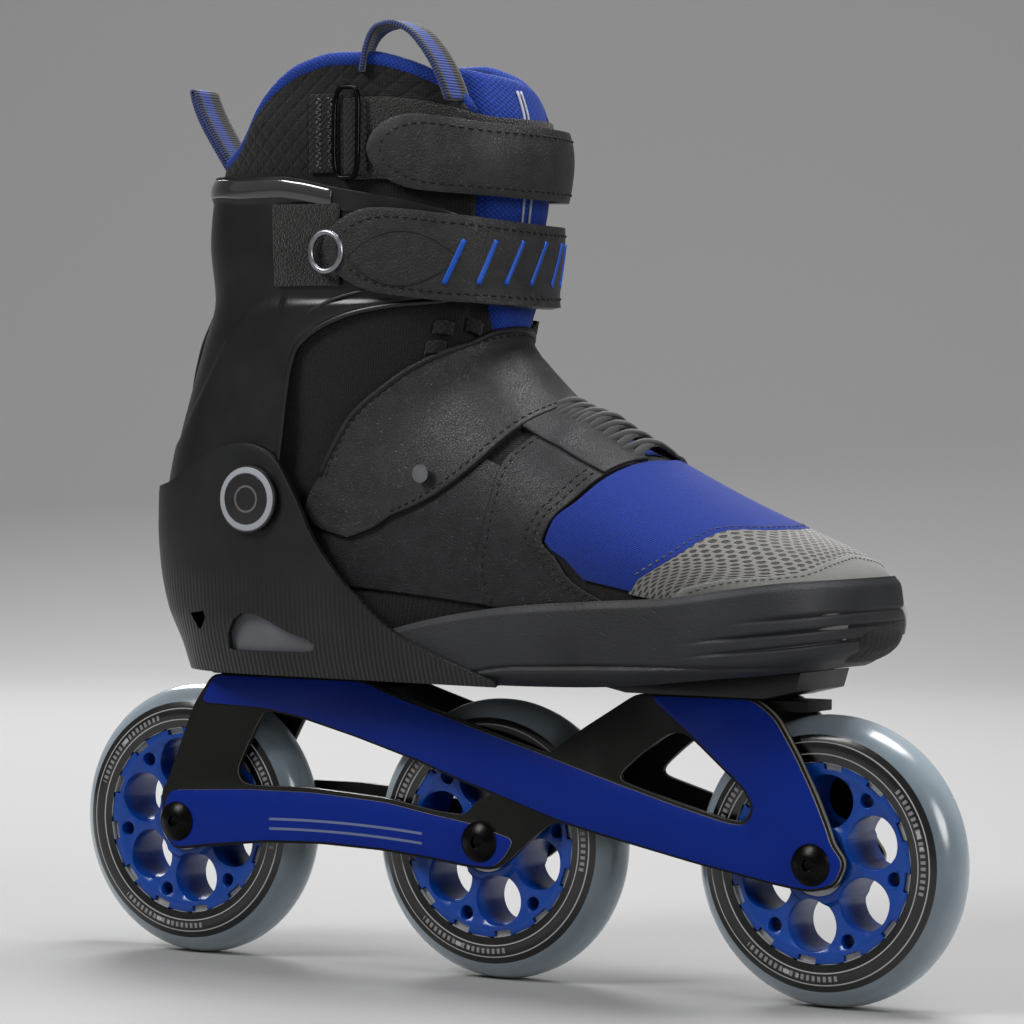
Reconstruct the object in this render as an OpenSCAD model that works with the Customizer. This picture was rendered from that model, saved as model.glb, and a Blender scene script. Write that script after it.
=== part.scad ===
// Inline skate, right foot: soft boot with a hinged cuff on a three-wheel one-piece frame.
// Millimetres. +X toe, +Y left (inner side of the foot), +Z up.
// The origin is on the ground under the middle axle.

/* [Wheels] */
// Diameter of a wheel
wheel_d = 100; // [98:0.5:100]
// Width of a tyre at its widest
tyre_w = 22.6; // [21:0.2:23]
// Radius of the hub where the tyre is cast on
hub_r = 34.2; // [33.5:0.1:34.5]
// Radius of the six large holes through a hub
hub_hole_r = 9.2; // [8:0.1:9.4]

/* [Bearings] */
// Outside diameter of a bearing
bearing_od = 22; // [22]
// Bore of a bearing
bearing_id = 8; // [8]
// Width of a bearing
bearing_w = 7; // [7]
// Length of the spacer between the two bearings of a wheel
spacer_len = 10.2; // [10.1:0.1:10.4]
// Number of balls in a bearing
ball_count = 7; // [6:1:7]

/* [Frame] */
// Distance from the rear axle to the front axle
wheelbase = 263; // [261:1:265]
// Outside width across the two side walls
frame_w = 34; // [34:0.2:35]
// Thickness of a side wall under its raised panel
wall_t = 2.4; // [2.2:0.1:2.8]
// Height of the raised panels on the side walls
panel_raise = 0.7; // [0.5:0.1:0.9]
// Height of the top of the frame above the ground
frame_top = 105.4; // [105.2:0.1:105.6]
// Distance between the two bolts that hold the boot
mount_span = 165; // [163:1:167]

/* [Boot] */
// Thickness of the padded lining
lining_t = 4; // [3:0.5:5]
// Thickness of the rigid sole plate
plate_t = 3.2; // [3:0.1:3.4]
// Thickness of the cuff's wall
cuff_t = 2.4; // [2:0.1:2.6]
// Thickness of the heel shell's wall
shell_t = 2; // [1.8:0.1:2.2]

/* [Ankle pivot] */
// Distance of the cuff's pivot behind the middle axle
pivot_back = 80.4; // [79.5:0.1:81.5]
// Height of the cuff's pivot above the ground
pivot_h = 170.6; // [170:0.1:171]
// Radius of the pivot pin
pivot_r = 5; // [4.5:0.1:5.5]

/* [Hidden] */

black = "#1b1b1c";
dark_grey = "#3a3a3d";
mid_grey = "#8d8d8a";
blue = "#0a3fa8";
steel = "#b9bcc0";
urethane = "#8fa3ad";

axle_z = wheel_d / 2;
rear_x = -wheelbase / 2;
front_x = wheelbase / 2;
axles = [rear_x, 0, front_x];
// Turn of each hub about its axle, in degrees
hub_turn = [-20, -20, 22];
rear = 0;
middle = 1;
front = 2;

wall_out = frame_w / 2;
skin_out = wall_out - panel_raise;
wall_in = skin_out - wall_t;
hub_half = spacer_len / 2 + bearing_w;
boss_in = hub_half + 0.1;
axle_r = bearing_id / 2 - 0.03;
ball_r = 1.95;
pitch_r = (bearing_od + bearing_id) / 4;
pivot_x = -pivot_back;
pivot_z = pivot_h;
mount_x = [-85, -85 + mount_span];
eps = 0.01;

// ---------------------------------------------------------------- helpers

// Draws its child twice: as it is, and mirrored to the other side of the skate
module both_sides() {
    children();
    mirror([0, 1, 0]) children();
}

// Extrudes a side-view outline (x, z) from y0 to y1
module plate(y0, y1) {
    translate([0, y1, 0]) rotate([90, 0, 0]) linear_extrude(y1 - y0) children();
}

// Puts a shape drawn about the Z axis on the axle at x, lying along Y
module on_axle(x) {
    translate([x, 0, axle_z]) rotate([90, 0, 0]) children();
}

function mix(a, b, t) = a + (b - a) * t;
function superpow(c, n) = sign(c) * pow(abs(c), 2 / n);

// Triangles of one strip of quads between point rows that start at a and b
function strip(a, b, count, flip) = [
    for (i = [0:count - 1]) each flip
        ? [[a + i, b + i + 1, a + i + 1], [a + i, b + i, b + i + 1]]
        : [[a + i, a + i + 1, b + i + 1], [a + i, b + i + 1, b + i]]];

// Closed thin solid between an outer and an inner grid of points
module sheet(outer, inner) {
    rows = len(outer);
    cols = len(outer[0]);
    n = rows * cols;
    pts = concat([for (r = outer) each r], [for (r = inner) each r]);
    skins = [for (r = [0:rows - 2]) each concat(
        strip(r * cols, (r + 1) * cols, cols - 1, false),
        strip(n + r * cols, n + (r + 1) * cols, cols - 1, true))];
    ends = concat(
        strip(0, n, cols - 1, true),
        strip((rows - 1) * cols, n + (rows - 1) * cols, cols - 1, false));
    sides = [for (r = [0:rows - 2]) each let (
            a = r * cols, b = (r + 1) * cols, e = cols - 1)
        [[a, b, b + n], [a, b + n, a + n],
         [a + e, b + e + n, b + e], [a + e, a + e + n, b + e + n]]];
    polyhedron(pts, concat(skins, ends, sides), convexity = 8);
}

// Solid skinned over closed rings of points, with flat convex ends
module loft(rings) {
    c = len(rings[0]);
    m = len(rings);
    pts = [for (r = rings) each r];
    skins = [for (r = [0:m - 2]) for (i = [0:c - 1]) each let (
            j = (i + 1) % c, a = r * c, b = (r + 1) * c)
        [[a + i, b + j, a + j], [a + i, b + i, b + j]]];
    first = [for (i = [0:c - 1]) i];
    last = [for (i = [c - 1:-1:0]) (m - 1) * c + i];
    polyhedron(pts, concat([first], skins, [last]), convexity = 6);
}

// Hollow sock: outer and inner closed rings, shut at the first ring and open at the last
module sock(outer, inner) {
    c = len(outer[0]);
    m = len(outer);
    k = len(inner);
    n = m * c;
    pts = concat([for (r = outer) each r], [for (r = inner) each r]);
    out_skin = [for (r = [0:m - 2]) for (i = [0:c - 1]) each let (
            j = (i + 1) % c, a = r * c, b = (r + 1) * c)
        [[a + i, b + j, a + j], [a + i, b + i, b + j]]];
    in_skin = [for (r = [0:k - 2]) for (i = [0:c - 1]) each let (
            j = (i + 1) % c, a = n + r * c, b = n + (r + 1) * c)
        [[a + i, a + j, b + j], [a + i, b + j, b + i]]];
    rim = [for (i = [0:c - 1]) each let (
            j = (i + 1) % c, a = (m - 1) * c, b = n + (k - 1) * c)
        [[a + i, b + j, a + j], [a + i, b + i, b + j]]];
    cap_out = [for (i = [0:c - 1]) i];
    cap_in = [for (i = [c - 1:-1:0]) n + i];
    polyhedron(pts, concat([cap_out], out_skin, rim, in_skin, [cap_in]), convexity = 8);
}

function unit(v) = v / norm(v);

// Direction of a path at point i
function heading(path, i) = unit(path[min(i + 1, len(path) - 1)] - path[max(i - 1, 0)]);

// Round cord swept along a list of points; side is a direction that the path never takes
module cord(path, r, side) {
    loft([for (i = [0:len(path) - 1]) let (
            t = heading(path, i), u = unit(cross(t, side)), v = cross(t, u))
        [for (a = [0:45:315]) path[i] + r * (cos(a) * u + sin(a) * v)]]);
}

// Flat webbing swept along a list of points: w wide along side, t thick
module webbing(path, w, t, side) {
    loft([for (i = [0:len(path) - 1]) let (u = unit(cross(heading(path, i), side)))
        [path[i] + w / 2 * side + t / 2 * u, path[i] - w / 2 * side + t / 2 * u,
         path[i] - w / 2 * side - t / 2 * u, path[i] + w / 2 * side - t / 2 * u]]);
}

// ---------------------------------------------------------------- boot surfaces

// The leg of the boot by height: rear end, front end and half width of its lining
leg_mid = -62;
leg_rear = [[106, -124], [116, -128], [131, -136], [147, -139.4], [160, -140.2],
    [171, -140.4], [180, -139.6], [190, -137], [206, -131.6], [225, -124.6], [243, -120.6],
    [262, -123], [281, -121], [292, -113], [306, -109], [325, -101]];
leg_front = [[106, 12], [240, 14], [262, 16], [281, 18], [292, 19], [306, 17], [325, 10]];
leg_half = [[106, 30], [116, 33.5], [131, 36], [147, 37], [190, 37.4], [240, 39.4],
    [281, 41.6], [300, 42], [325, 40.5]];
leg_pow = 2.25;

// Point on the leg at height z and turn f (0 front, 90 outer side, 180 rear), moved out by off
function leg(z, f, off) = let (
        c = superpow(cos(f), leg_pow), s = superpow(sin(f), leg_pow),
        a = c < 0 ? leg_mid - lookup(z, leg_rear) : lookup(z, leg_front) - leg_mid)
    [leg_mid + (a + off) * c, -(lookup(z, leg_half) + off) * s, z];

// The foot of the boot as tilted rings from the toe back to the ankle:
// top point x and z, bottom point x and z, half width, sideways shift of the centre
foot_rings = [
    [148, 131, 146, 122, 14, 6],
    [143, 145, 140, 118, 29, 5.5],
    [133, 155, 127, 117.5, 38, 4.5],
    [115, 163, 105, 116.5, 43.5, 2.5],
    [92, 173, 80, 115, 45.5, 0.5],
    [64, 187, 52, 113, 44.5, -0.5],
    [44, 198, 16, 112.2, 41.5, -1],
    [31, 209, -22, 112.2, 39, -1],
    [23, 218, -65, 112.2, 36.8, 0],
    [17.5, 224, -106, 114, 35.6, 0],
    [15, 227, -130, 135, 35.4, 0],
    [14, 230, -136, 155, 35.4, 0],
    [13.5, 233, -137.5, 170, 35.6, 0]];
foot_top_pow = 2.15;
foot_bottom_pow = 3.2;

function foot_row(k, i) = lookup(k, [for (j = [0:len(foot_rings) - 1]) [j, foot_rings[j][i]]]);

// Point on the foot at ring k and turn f (0 top, 90 outer side, 180 sole), moved out by off
function foot(k, f, off) = let (
        n = cos(f) > 0 ? foot_top_pow : foot_bottom_pow - 0.95 * clamp01((k - 8) / 3),
        c = superpow(cos(f), n), s = superpow(sin(f), n),
        tx = foot_row(k, 0), tz = foot_row(k, 1), bx = foot_row(k, 2), bz = foot_row(k, 3),
        half = norm([tx - bx, tz - bz]) / 2, u = [tx - bx, tz - bz] / (2 * half))
    [(tx + bx) / 2 + u[0] * (half + off) * c,
     foot_row(k, 5) - (foot_row(k, 4) + off) * s,
     (tz + bz) / 2 + u[1] * (half + off) * c];

// Patch of either surface as a thin solid, from turn f0 to f1 and row v0 to v1
module leg_patch(f0, f1, cols, z0, z1, rows, off_in, off_out) {
    function grid(off) = [for (i = [0:rows]) [for (j = [0:cols])
        leg(mix(z0, z1, i / rows), mix(f0, f1, j / cols), off)]];
    sheet(grid(off_out), grid(off_in));
}

module foot_patch(f0, f1, cols, k0, k1, rows, off_in, off_out) {
    function grid(off) = [for (i = [0:rows]) [for (j = [0:cols])
        foot(mix(k0, k1, i / rows), mix(f0, f1, j / cols), off)]];
    sheet(grid(off_in), grid(off_out));
}

// Underside of the sole, its plan half width on the outer side and on the inner side
sole_z = [[-135, 107], [-20, 107.1], [20, 107.5], [51, 108.2], [72, 109.3], [103, 112.6],
    [131, 115.5], [152, 119.5]];
outer_half = [[-62, 37], [-20, 40.5], [20, 44], [60, 47], [95, 47.5]];
inner_half = [[-62, 37], [-20, 37.5], [20, 40], [60, 45], [95, 47.5]];
toe_mid = 95;
toe_reach = [[0, 42], [0.12, 49], [0.3, 53.5], [0.6, 56], [0.85, 55.5], [1, 53]];
toe_pow = 2.5;
toe_shift = 4;

// Plan path of the forefoot rim: s runs -1 (outer rear end) to 1 (inner rear end), 0 is the toe.
// reach is how far the toe stands in front of toe_mid; off moves the path outwards.
rim_rear = -30;
arc_share = 0.55;
function rim(s, reach, off) = abs(s) <= arc_share
    ? let (t = 90 * s / arc_share, c = superpow(cos(t), toe_pow), q = superpow(sin(t), toe_pow))
        [toe_mid + (reach + off) * c, toe_shift * c + (47.5 + off) * q]
    : let (x = mix(toe_mid, rim_rear, (abs(s) - arc_share) / (1 - arc_share)))
        [x, s < 0 ? -lookup(x, outer_half) - off : lookup(x, inner_half) + off];

// ---------------------------------------------------------------- frame

// Outline p with each corner cut by a curve that starts up to d from it
function rounded(p, d = 3.5) = [for (i = [0:len(p) - 1]) let (
        a = p[(i + len(p) - 1) % len(p)], b = p[i], c = p[(i + 1) % len(p)],
        u = b + (a - b) * min(0.42, d / norm(a - b)), w = b + (c - b) * min(0.42, d / norm(c - b)))
    for (t = [0:1 / 3:1.01]) (1 - t) * (1 - t) * u + 2 * t * (1 - t) * b + t * t * w];

module upper_panel() {
    polygon(rounded([[-115, 104.8], [-50, 104.8], [-38, 100.6], [-20, 95.3], [5, 88], [28, 81.6],
        [47, 76], [57, 73.2], [79, 67.2], [98.5, 62.4], [106.4, 61.7], [110.2, 67.2],
        [107, 73.9], [98, 81.4], [86.5, 91], [68.5, 104.6], [108.8, 104.8], [117.2, 98.9],
        [125.2, 86.4], [131.8, 74], [137, 62.4], [138.8, 57], [142.6, 52.6], [143, 49.8],
        [140, 43.8], [131, 41.5], [117, 43.2], [87, 48.5], [47.5, 56.4], [31, 60.2],
        [5.8, 68], [-11.2, 73], [-25.4, 78], [-53, 85.6], [-76.3, 91.3], [-93, 93.8],
        [-121, 94.6]]));
}

module lower_panel() {
    polygon(rounded([[-134.8, 61.4], [-100.7, 63.4], [-71.5, 63.7], [-40, 61.9], [-20, 58.6],
        [-4.6, 56.5], [14.4, 51.6], [9.6, 44.2], [5, 41.2], [-6, 41.8], [-20, 43.5],
        [-41, 45.4], [-68, 46.2], [-92, 45.3], [-115.6, 42.7], [-132, 40.4], [-136, 44],
        [-137.6, 50], [-137, 56]]));
}

module wall_outline() {
    polygon(rounded([[-116, 105.4], [-50, 105.4], [-37.8, 101.4], [-20, 96.1], [5.2, 88.9],
        [28.2, 82.5], [33, 86.2], [41.5, 92], [63.6, 105.4], [110, 105.4], [118.2, 99.5],
        [126.2, 86.8], [132.8, 74.3], [138, 62.8], [139.7, 57.6], [143.6, 52.8],
        [144, 49.6], [140.6, 42.9], [131, 40.5], [117, 42.3], [87, 47.6], [47.4, 55.5],
        [30.8, 59.2], [22.5, 53.4], [16.7, 48.4], [10.9, 43.2], [5.3, 40.2], [-6, 40.8],
        [-20, 42.5], [-41, 44.4], [-68, 45.2], [-92, 44.3], [-115.7, 41.7], [-132.4, 39.3],
        [-136.8, 43.4], [-138.6, 50], [-138.8, 61.6], [-136.4, 64], [-130.9, 78],
        [-124.4, 93.8]]));
}

// Gap between the rear strut, the two arms and the middle strut
module rear_gap() {
    polygon(rounded([[-93, 92.9], [-76.4, 90.4], [-53, 84.7], [-25.5, 77], [-11.3, 72], [5, 67.2],
        [2.2, 66.1], [-1.8, 64.4], [-6.5, 58.9], [-19.9, 60.1], [-39.9, 63.4],
        [-71.5, 65.3], [-99.5, 65], [-103.4, 66.4], [-105, 70.4], [-102, 76.9],
        [-97, 86.1]]));
}

module front_window() {
    polygon(rounded([[57, 74.6], [57, 77.4], [66, 85.2], [75.8, 91.9], [81.8, 92.6], [85.8, 90],
        [96.8, 80.9], [105.8, 73.4], [108.6, 67.7], [105.7, 62.9], [98.5, 63.6],
        [79, 68.3]]));
}

module deck(x0, x1) {
    translate([x0, -wall_in - eps, 101.6])
        cube([x1 - x0, 2 * (wall_in + eps), frame_top - 101.6]);
}

module frame() {
    color(blue) difference() {
        union() {
            both_sides() {
                plate(wall_in, skin_out) difference() {
                    wall_outline();
                    rear_gap();
                    front_window();
                }
                plate(skin_out - eps, wall_out) upper_panel();
                plate(skin_out - eps, wall_out) lower_panel();
            }
            deck(-114, -52);
            deck(66, 108);
            // Tongue of the front deck, seen ahead of the boot block
            translate([104, -9, 100.8]) cube([22, 18, 3.6]);
            both_sides() for (x = axles) translate([x, wall_in + eps, axle_z])
                rotate([90, 0, 0]) cylinder(h = wall_in + eps - boss_in, r = 6.4, $fn = 48);
        }
        for (x = [rear_x, front_x]) translate([x, 30, axle_z]) rotate([90, 0, 0])
            cylinder(h = 60, r = axle_r + 0.04, $fn = 48);
        translate([0, 30, axle_z]) rotate([90, 0, 0]) cylinder(h = 60, r = 5.6, $fn = 48);
        for (x = mount_x) translate([x, 0, 90]) cylinder(h = 30, r = 4.3, $fn = 48);
    }
}

module rocker_spacers() {
    color(black) both_sides() translate([0, wall_out - 0.05, axle_z]) rotate([90, 0, 0])
        difference() {
            cylinder(h = wall_out - boss_in - 0.05, r = 5.56, $fn = 48);
            translate([0, 0, -1]) cylinder(h = 9, r = axle_r + 0.04, $fn = 48);
        }
}

module front_mount_block() {
    color(black) difference() {
        plate(-18.5, 18.5) polygon([[60, 105.5], [114, 105.5], [126, 108.4], [128, 114.9],
            [103, 112.3], [72, 109], [51, 107.9], [52, 107.1]]);
        translate([mount_x[1], 0, 90]) cylinder(h = 40, r = 4.3, $fn = 48);
    }
}

module rear_mount_pad() {
    color(black) difference() {
        plate(-16, 16) polygon([[-116, 105.5], [-48, 105.5], [-46, 106.9], [-118, 106.9]]);
        translate([mount_x[0], 0, 90]) cylinder(h = 40, r = 4.3, $fn = 48);
    }
}

module mount_bolts() {
    color(steel) for (x = mount_x) translate([x, 0, 97.6]) difference() {
        union() {
            cylinder(h = 3.9, r = 6.5, $fn = 48);
            cylinder(h = 14.6, r = 3.9, $fn = 48);
        }
        translate([0, 0, -eps]) cylinder(h = 2.6, r = 2.9, $fn = 6);
    }
}

module mount_inserts() {
    color(steel) for (i = [0, 1]) translate([mount_x[i], 0, i == 0 ? 107.2 : 110.4])
        difference() {
            union() {
                cylinder(h = 3.3, r = 5.9, $fn = 48);
                translate([0, 0, 3.3]) cylinder(h = 1, r = 8.5, $fn = 48);
            }
            translate([0, 0, -1]) cylinder(h = 8, r = 3.95, $fn = 48);
        }
}

// Low domed head of an axle, drawn from z = 0 upwards
module axle_head() {
    intersection() {
        cylinder(h = 2.7, r = 7.2, $fn = 48);
        translate([0, 0, -9]) sphere(11.7, $fn = 64);
    }
}

module axle_sleeves() {
    color(black) for (x = axles) on_axle(x) difference() {
        union() {
            translate([0, 0, -wall_out - 0.05]) rotate([180, 0, 0]) axle_head();
            translate([0, 0, -wall_out - 0.05]) cylinder(h = 2 * wall_out, r = axle_r, $fn = 48);
        }
        translate([0, 0, -wall_out + 2]) cylinder(h = 40, r = 2.6, $fn = 36);
        translate([0, 0, -wall_out - 3]) cylinder(h = 2.4, r = 2.3, $fn = 6);
    }
}

module axle_screws() {
    color(black) for (x = axles) on_axle(x) difference() {
        union() {
            translate([0, 0, wall_out + 0.05]) axle_head();
            translate([0, 0, -6]) cylinder(h = wall_out + 7, r = 2.55, $fn = 36);
        }
        translate([0, 0, wall_out + 0.8]) cylinder(h = 3, r = 2.3, $fn = 6);
    }
}

// ---------------------------------------------------------------- wheels and bearings

module tyre(i) {
    crown_r = tyre_w / 2;
    color(urethane) on_axle(axles[i]) difference() {
        rotate_extrude($fn = 128) polygon(concat(
            [[hub_r - 2, -8.8], [hub_r + 0.02, -8.8], [hub_r + 0.02, -10.6]],
            [for (t = [-90:10:90]) [axle_z - crown_r + crown_r * cos(t), crown_r * sin(t)]],
            [[hub_r + 0.02, 10.6], [hub_r + 0.02, 8.8], [hub_r - 2, 8.8]]));
        // The inner band is left only as twelve keys that lock into the hub
        for (k = [0:11]) rotate([0, 0, hub_turn[i] + 15 + 30 * k])
            translate([hub_r - 3, -5.6, -12]) cube([3.02, 11.2, 24]);
    }
}

module hub(i) {
    color(blue) on_axle(axles[i]) rotate([0, 0, hub_turn[i]]) difference() {
        rotate_extrude($fn = 128) polygon([
            [6.6, -spacer_len / 2], [11.01, -spacer_len / 2], [11.01, -hub_half],
            [13.6, -hub_half], [15, -10], [28.6, -9.4], [30.4, -10.3], [hub_r, -10.3],
            [hub_r, 10.3], [30.4, 10.3], [28.6, 9.4], [15, 10],
            [13.6, hub_half], [11.01, hub_half], [11.01, spacer_len / 2],
            [6.6, spacer_len / 2]]);
        for (k = [0:5]) {
            rotate([0, 0, 60 * k]) translate([21.4, 0, -15])
                cylinder(h = 30, r = hub_hole_r, $fn = 48);
            rotate([0, 0, 60 * k + 30]) translate([28, 0, -15])
                cylinder(h = 30, r = 2.5, $fn = 32);
        }
        for (k = [0:11]) rotate([0, 0, 30 * k]) translate([hub_r - 2.1, -3.4, -12])
            cube([4, 6.8, 24]);
    }
}

// Draws its child once for each of the two bearings of wheel i, centred on the bearing
module each_bearing(i) {
    on_axle(axles[i]) for (s = [-1, 1]) translate([0, 0, s * (spacer_len + bearing_w) / 2])
        children();
}

module bearing_outer_rings(i) {
    h = bearing_w / 2;
    color(steel) each_bearing(i) difference() {
        rotate_extrude($fn = 96) polygon([[8.9, -2.9], [9.75, -2.9], [9.75, -h],
            [bearing_od / 2, -h], [bearing_od / 2, h], [9.75, h], [9.75, 2.9], [8.9, 2.9]]);
        rotate_extrude($fn = 96) translate([pitch_r, 0]) circle(2, $fn = 32);
    }
}

module bearing_inner_rings() {
    h = bearing_w / 2;
    color(steel) for (i = [0:2]) each_bearing(i) difference() {
        rotate_extrude($fn = 96) polygon([[bearing_id / 2, -h], [6.1, -h], [6.1, h],
            [bearing_id / 2, h]]);
        rotate_extrude($fn = 96) translate([pitch_r, 0]) circle(2, $fn = 32);
    }
}

module bearing_shields(i) {
    color(mid_grey) each_bearing(i) for (s = [-1, 1]) translate([0, 0, s * 3.14])
        difference() {
            cylinder(h = 0.4, r = 9.74, center = true, $fn = 64);
            cylinder(h = 1, r = 6.3, center = true, $fn = 64);
        }
}

module ball_ring(r) {
    for (k = [0:ball_count - 1]) rotate([0, 0, 360 / ball_count * k])
        translate([pitch_r, 0, 0]) sphere(r, $fn = 24);
}

module bearing_balls(i) {
    color(steel) each_bearing(i) ball_ring(ball_r);
}

module bearing_cages(i) {
    color(mid_grey) each_bearing(i) difference() {
        rotate_extrude($fn = 64) polygon([[6.8, -0.8], [8.2, -0.8], [8.2, 2.75], [6.8, 2.75]]);
        ball_ring(ball_r + 0.05);
    }
}

module bearing_spacers() {
    color(steel) for (x = axles) on_axle(x) difference() {
        cylinder(h = spacer_len - 0.04, r = 5.9, center = true, $fn = 48);
        cylinder(h = 20, r = 4.02, center = true, $fn = 48);
    }
}

// ---------------------------------------------------------------- sole and shell

// Flat rings across the boot from heel to toe: z_low and z_high above the sole's underside
module slab(inset, low, high, x_rear, x_front) {
    count = 20;
    loft([for (i = [0:count]) let (
            x = mix(x_rear, x_front, i / count),
            heel = clamp01((leg_mid - x) / (leg_mid - x_rear + 1.2)),
            toe = clamp01((x - toe_mid) / (x_front + 1.2 - toe_mid)),
            narrow = pow(1 - pow(max(heel, toe), 2.3), 1 / 2.3),
            side = toe_shift * toe,
            a = side - (lookup(x, outer_half) - inset) * narrow,
            b = side + (lookup(x, inner_half) - inset) * narrow,
            z = lookup(x, sole_z))
        [[x, a, z + low], [x, b, z + low], [x, b, z + high], [x, a, z + high]]]);
}

function clamp01(t) = min(1, max(0, t));

module sole_plate() {
    color(black) difference() {
        slab(7.5, 0, plate_t, -119, 135);
        for (x = mount_x) translate([x, 0, 100]) cylinder(h = 20, r = 6, $fn = 48);
    }
}

module footbed() {
    color(dark_grey) slab(20, 12.6, 15, -104, 112);
}

// Rubber rand round the forefoot: low and high edge from the sole up to the upper
rand_top = [[-30, 124], [0, 130], [30, 134.5], [60, 137.5], [90, 140], [114, 143.6],
    [131, 146], [152, 147.5]];
module toe_bumper() {
    rows = 6;
    cols = 44;
    function grid(off) = [for (i = [0:rows]) let (v = i / rows) [for (j = [0:cols]) let (
            s = -1 + 2 * j / cols,
            tuck = v < 0.2 ? -5 * pow(1 - v / 0.2, 1.5) : 0,
            p = rim(s, lookup(v, toe_reach), off + tuck))
        [p[0], p[1], mix(lookup(p[0], sole_z), lookup(p[0], rand_top), v)]]];
    color(black) sheet(grid(0), grid(-2.2));
}

// Columns of the heel shell: straight sides in front of leg_mid, then the heel's half round
shell_x = [18, 4, -10, -22, -32, -40, -47, -52, -56, -59.5];
shell_turn = [92, 95, 98, 102, 107, 113, 120, 128, 137, 147, 158, 169];
shell_top = [[18, 116], [4, 119], [-10, 123], [-22, 129], [-32, 136], [-40, 142],
    [-47, 149], [-52, 155], [-56, 161], [-59.5, 168], [-66, 179], [-70, 185], [-76, 188.5],
    [-84, 190.5], [-96, 189], [-106, 186], [-117, 180], [-127, 175], [-147, 173]];
shell_out = 6.6;

function shell_side(x, z, off) = let (
        half = lookup(z, leg_half) - 37 + mix(lookup(x, outer_half), 37, 0)) half + off;

function shell_column(side, j, off) =
    j < len(shell_x)
    ? let (x = shell_x[j], top = lookup(x, shell_top))
        [for (i = [0:6]) let (z = mix(107.1, top, i / 6))
            [x, side * shell_side(x, z, off), z]]
    : let (f = shell_turn[j - len(shell_x)], ref = leg(165, f, shell_out),
           top = lookup(ref[0], shell_top))
        [for (i = [0:6]) let (z = mix(107.1, top, i / 6), p = leg(z, f, off))
            [p[0], -side * p[1], z]];

shell_cols = len(shell_x) + len(shell_turn);
function shell_grid(off) = concat(
    [for (j = [0:shell_cols - 1]) shell_column(-1, j, off)],
    [[for (i = [0:6]) leg(mix(107.1, 173, i / 6), 180, off)]],
    [for (j = [shell_cols - 1:-1:0]) shell_column(1, j, off)]);

module heel_window() {
    polygon([[-94, 116.5], [-93, 122], [-89, 128], [-82, 129.3], [-75, 127.5], [-66, 123.4],
        [-56, 120.6], [-55, 117.2], [-60, 116.2]]);
}

module heel_slot() {
    polygon([[-114, 128.6], [-106, 129.6], [-105, 127], [-108.4, 122.6]]);
}

module heel_shell() {
    color(black) difference() {
        sheet(shell_grid(shell_out - shell_t), shell_grid(shell_out));
        plate(-60, 60) heel_window();
        plate(-60, 60) heel_slot();
        translate([pivot_x, 60, pivot_z]) rotate([90, 0, 0])
            cylinder(h = 120, r = pivot_r + 0.02, $fn = 64);
    }
}

insert_rows = [113, 122, 131.5];
function insert_grid(side, off) = concat(
    [for (x = [-52, -57, -61.5]) [for (z = insert_rows) [x, side * shell_side(x, z, off), z]]],
    [for (f = [96, 104, 112, 120]) [for (z = insert_rows)
        let (p = leg(z, f, off)) [p[0], -side * p[1], z]]]);

module heel_inserts() {
    color(mid_grey) {
        sheet(insert_grid(-1, 4.4), insert_grid(-1, 3.2));
        sheet(insert_grid(1, 3.2), insert_grid(1, 4.4));
    }
}

// ---------------------------------------------------------------- soft upper

ring_cols = 28;
function foot_ring(k, off) = [for (j = [0:ring_cols - 1]) foot(k, 360 * j / ring_cols, off)];

module boot_upper() {
    top = len(foot_rings) - 1;
    color(black) sock(
        [for (k = [0:top]) foot_ring(k, 0)],
        [for (k = [0.8, 1.4, 2, 3, 4, 5, 6, 7, 8, 9, 10, 11, 12]) foot_ring(k, -lining_t)]);
}

module toe_cap() {
    color(mid_grey) foot_patch(-68, 68, 16, 0.6, 3, 6, 0.3, 1.9);
}

module vamp() {
    color(blue) foot_patch(-60, 60, 16, 3.08, 5.4, 5, 0.3, 1.7);
}

module eyestay() {
    color(dark_grey) both_sides() foot_patch(14, 50, 6, 5.48, 6.9, 4, 0.3, 1.9);
}

module laces() {
    color(black) for (k = [5.7, 6.15, 6.6])
        cord([for (f = [-34:8.5:34]) foot(k, f, 3.6)], 1.3, unit([1, 0, -0.6]));
}

module instep_strap() {
    color(dark_grey) foot_patch(-40, 84, 18, 7, 9.2, 6, 2.2, 4.4);
}

module instep_strap_anchor() {
    color(dark_grey) foot_patch(-84, -42, 8, 7, 9.2, 6, 0.3, 2.5);
}

module instep_strap_rivet() {
    color(steel) translate(foot(8.1, 76, 4.45)) rotate([90, 0, 0])
        cylinder(h = 1.3, r = 3.2, $fn = 32);
}

// ---------------------------------------------------------------- cuff

// Lower and upper edge of the cuff by turn round the leg (0 front, 180 rear)
cuff_low = [[24, 255], [30, 247], [43, 242.4], [63, 241], [79, 235], [88, 226], [92, 214],
    [94.5, 192], [97, 166], [101, 153], [108, 148.5], [119, 150], [138, 162], [160, 174],
    [180, 178]];
cuff_high = [[24, 266], [43, 272], [63, 276], [79, 280], [100, 284], [130, 286], [180, 287]];
cuff_turn = [24, 30, 38, 50, 63, 72, 79, 84, 88, 90, 92, 94, 96, 98, 101, 105, 110, 117, 126,
    136, 148, 160, 171];
cuff_rows = 9;

function cuff_grid(off) = let (turns = concat(cuff_turn, [180],
        [for (i = [len(cuff_turn) - 1:-1:0]) 360 - cuff_turn[i]]))
    [for (f = turns) let (g = f > 180 ? 360 - f : f)
        [for (i = [0:cuff_rows]) leg(mix(lookup(g, cuff_low), lookup(g, cuff_high),
            i / cuff_rows), f, off)]];

module cuff() {
    color(black) difference() {
        sheet(cuff_grid(1 + cuff_t), cuff_grid(1));
        translate([pivot_x, 60, pivot_z]) rotate([90, 0, 0])
            cylinder(h = 120, r = pivot_r + 0.06, $fn = 64);
    }
}

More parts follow.
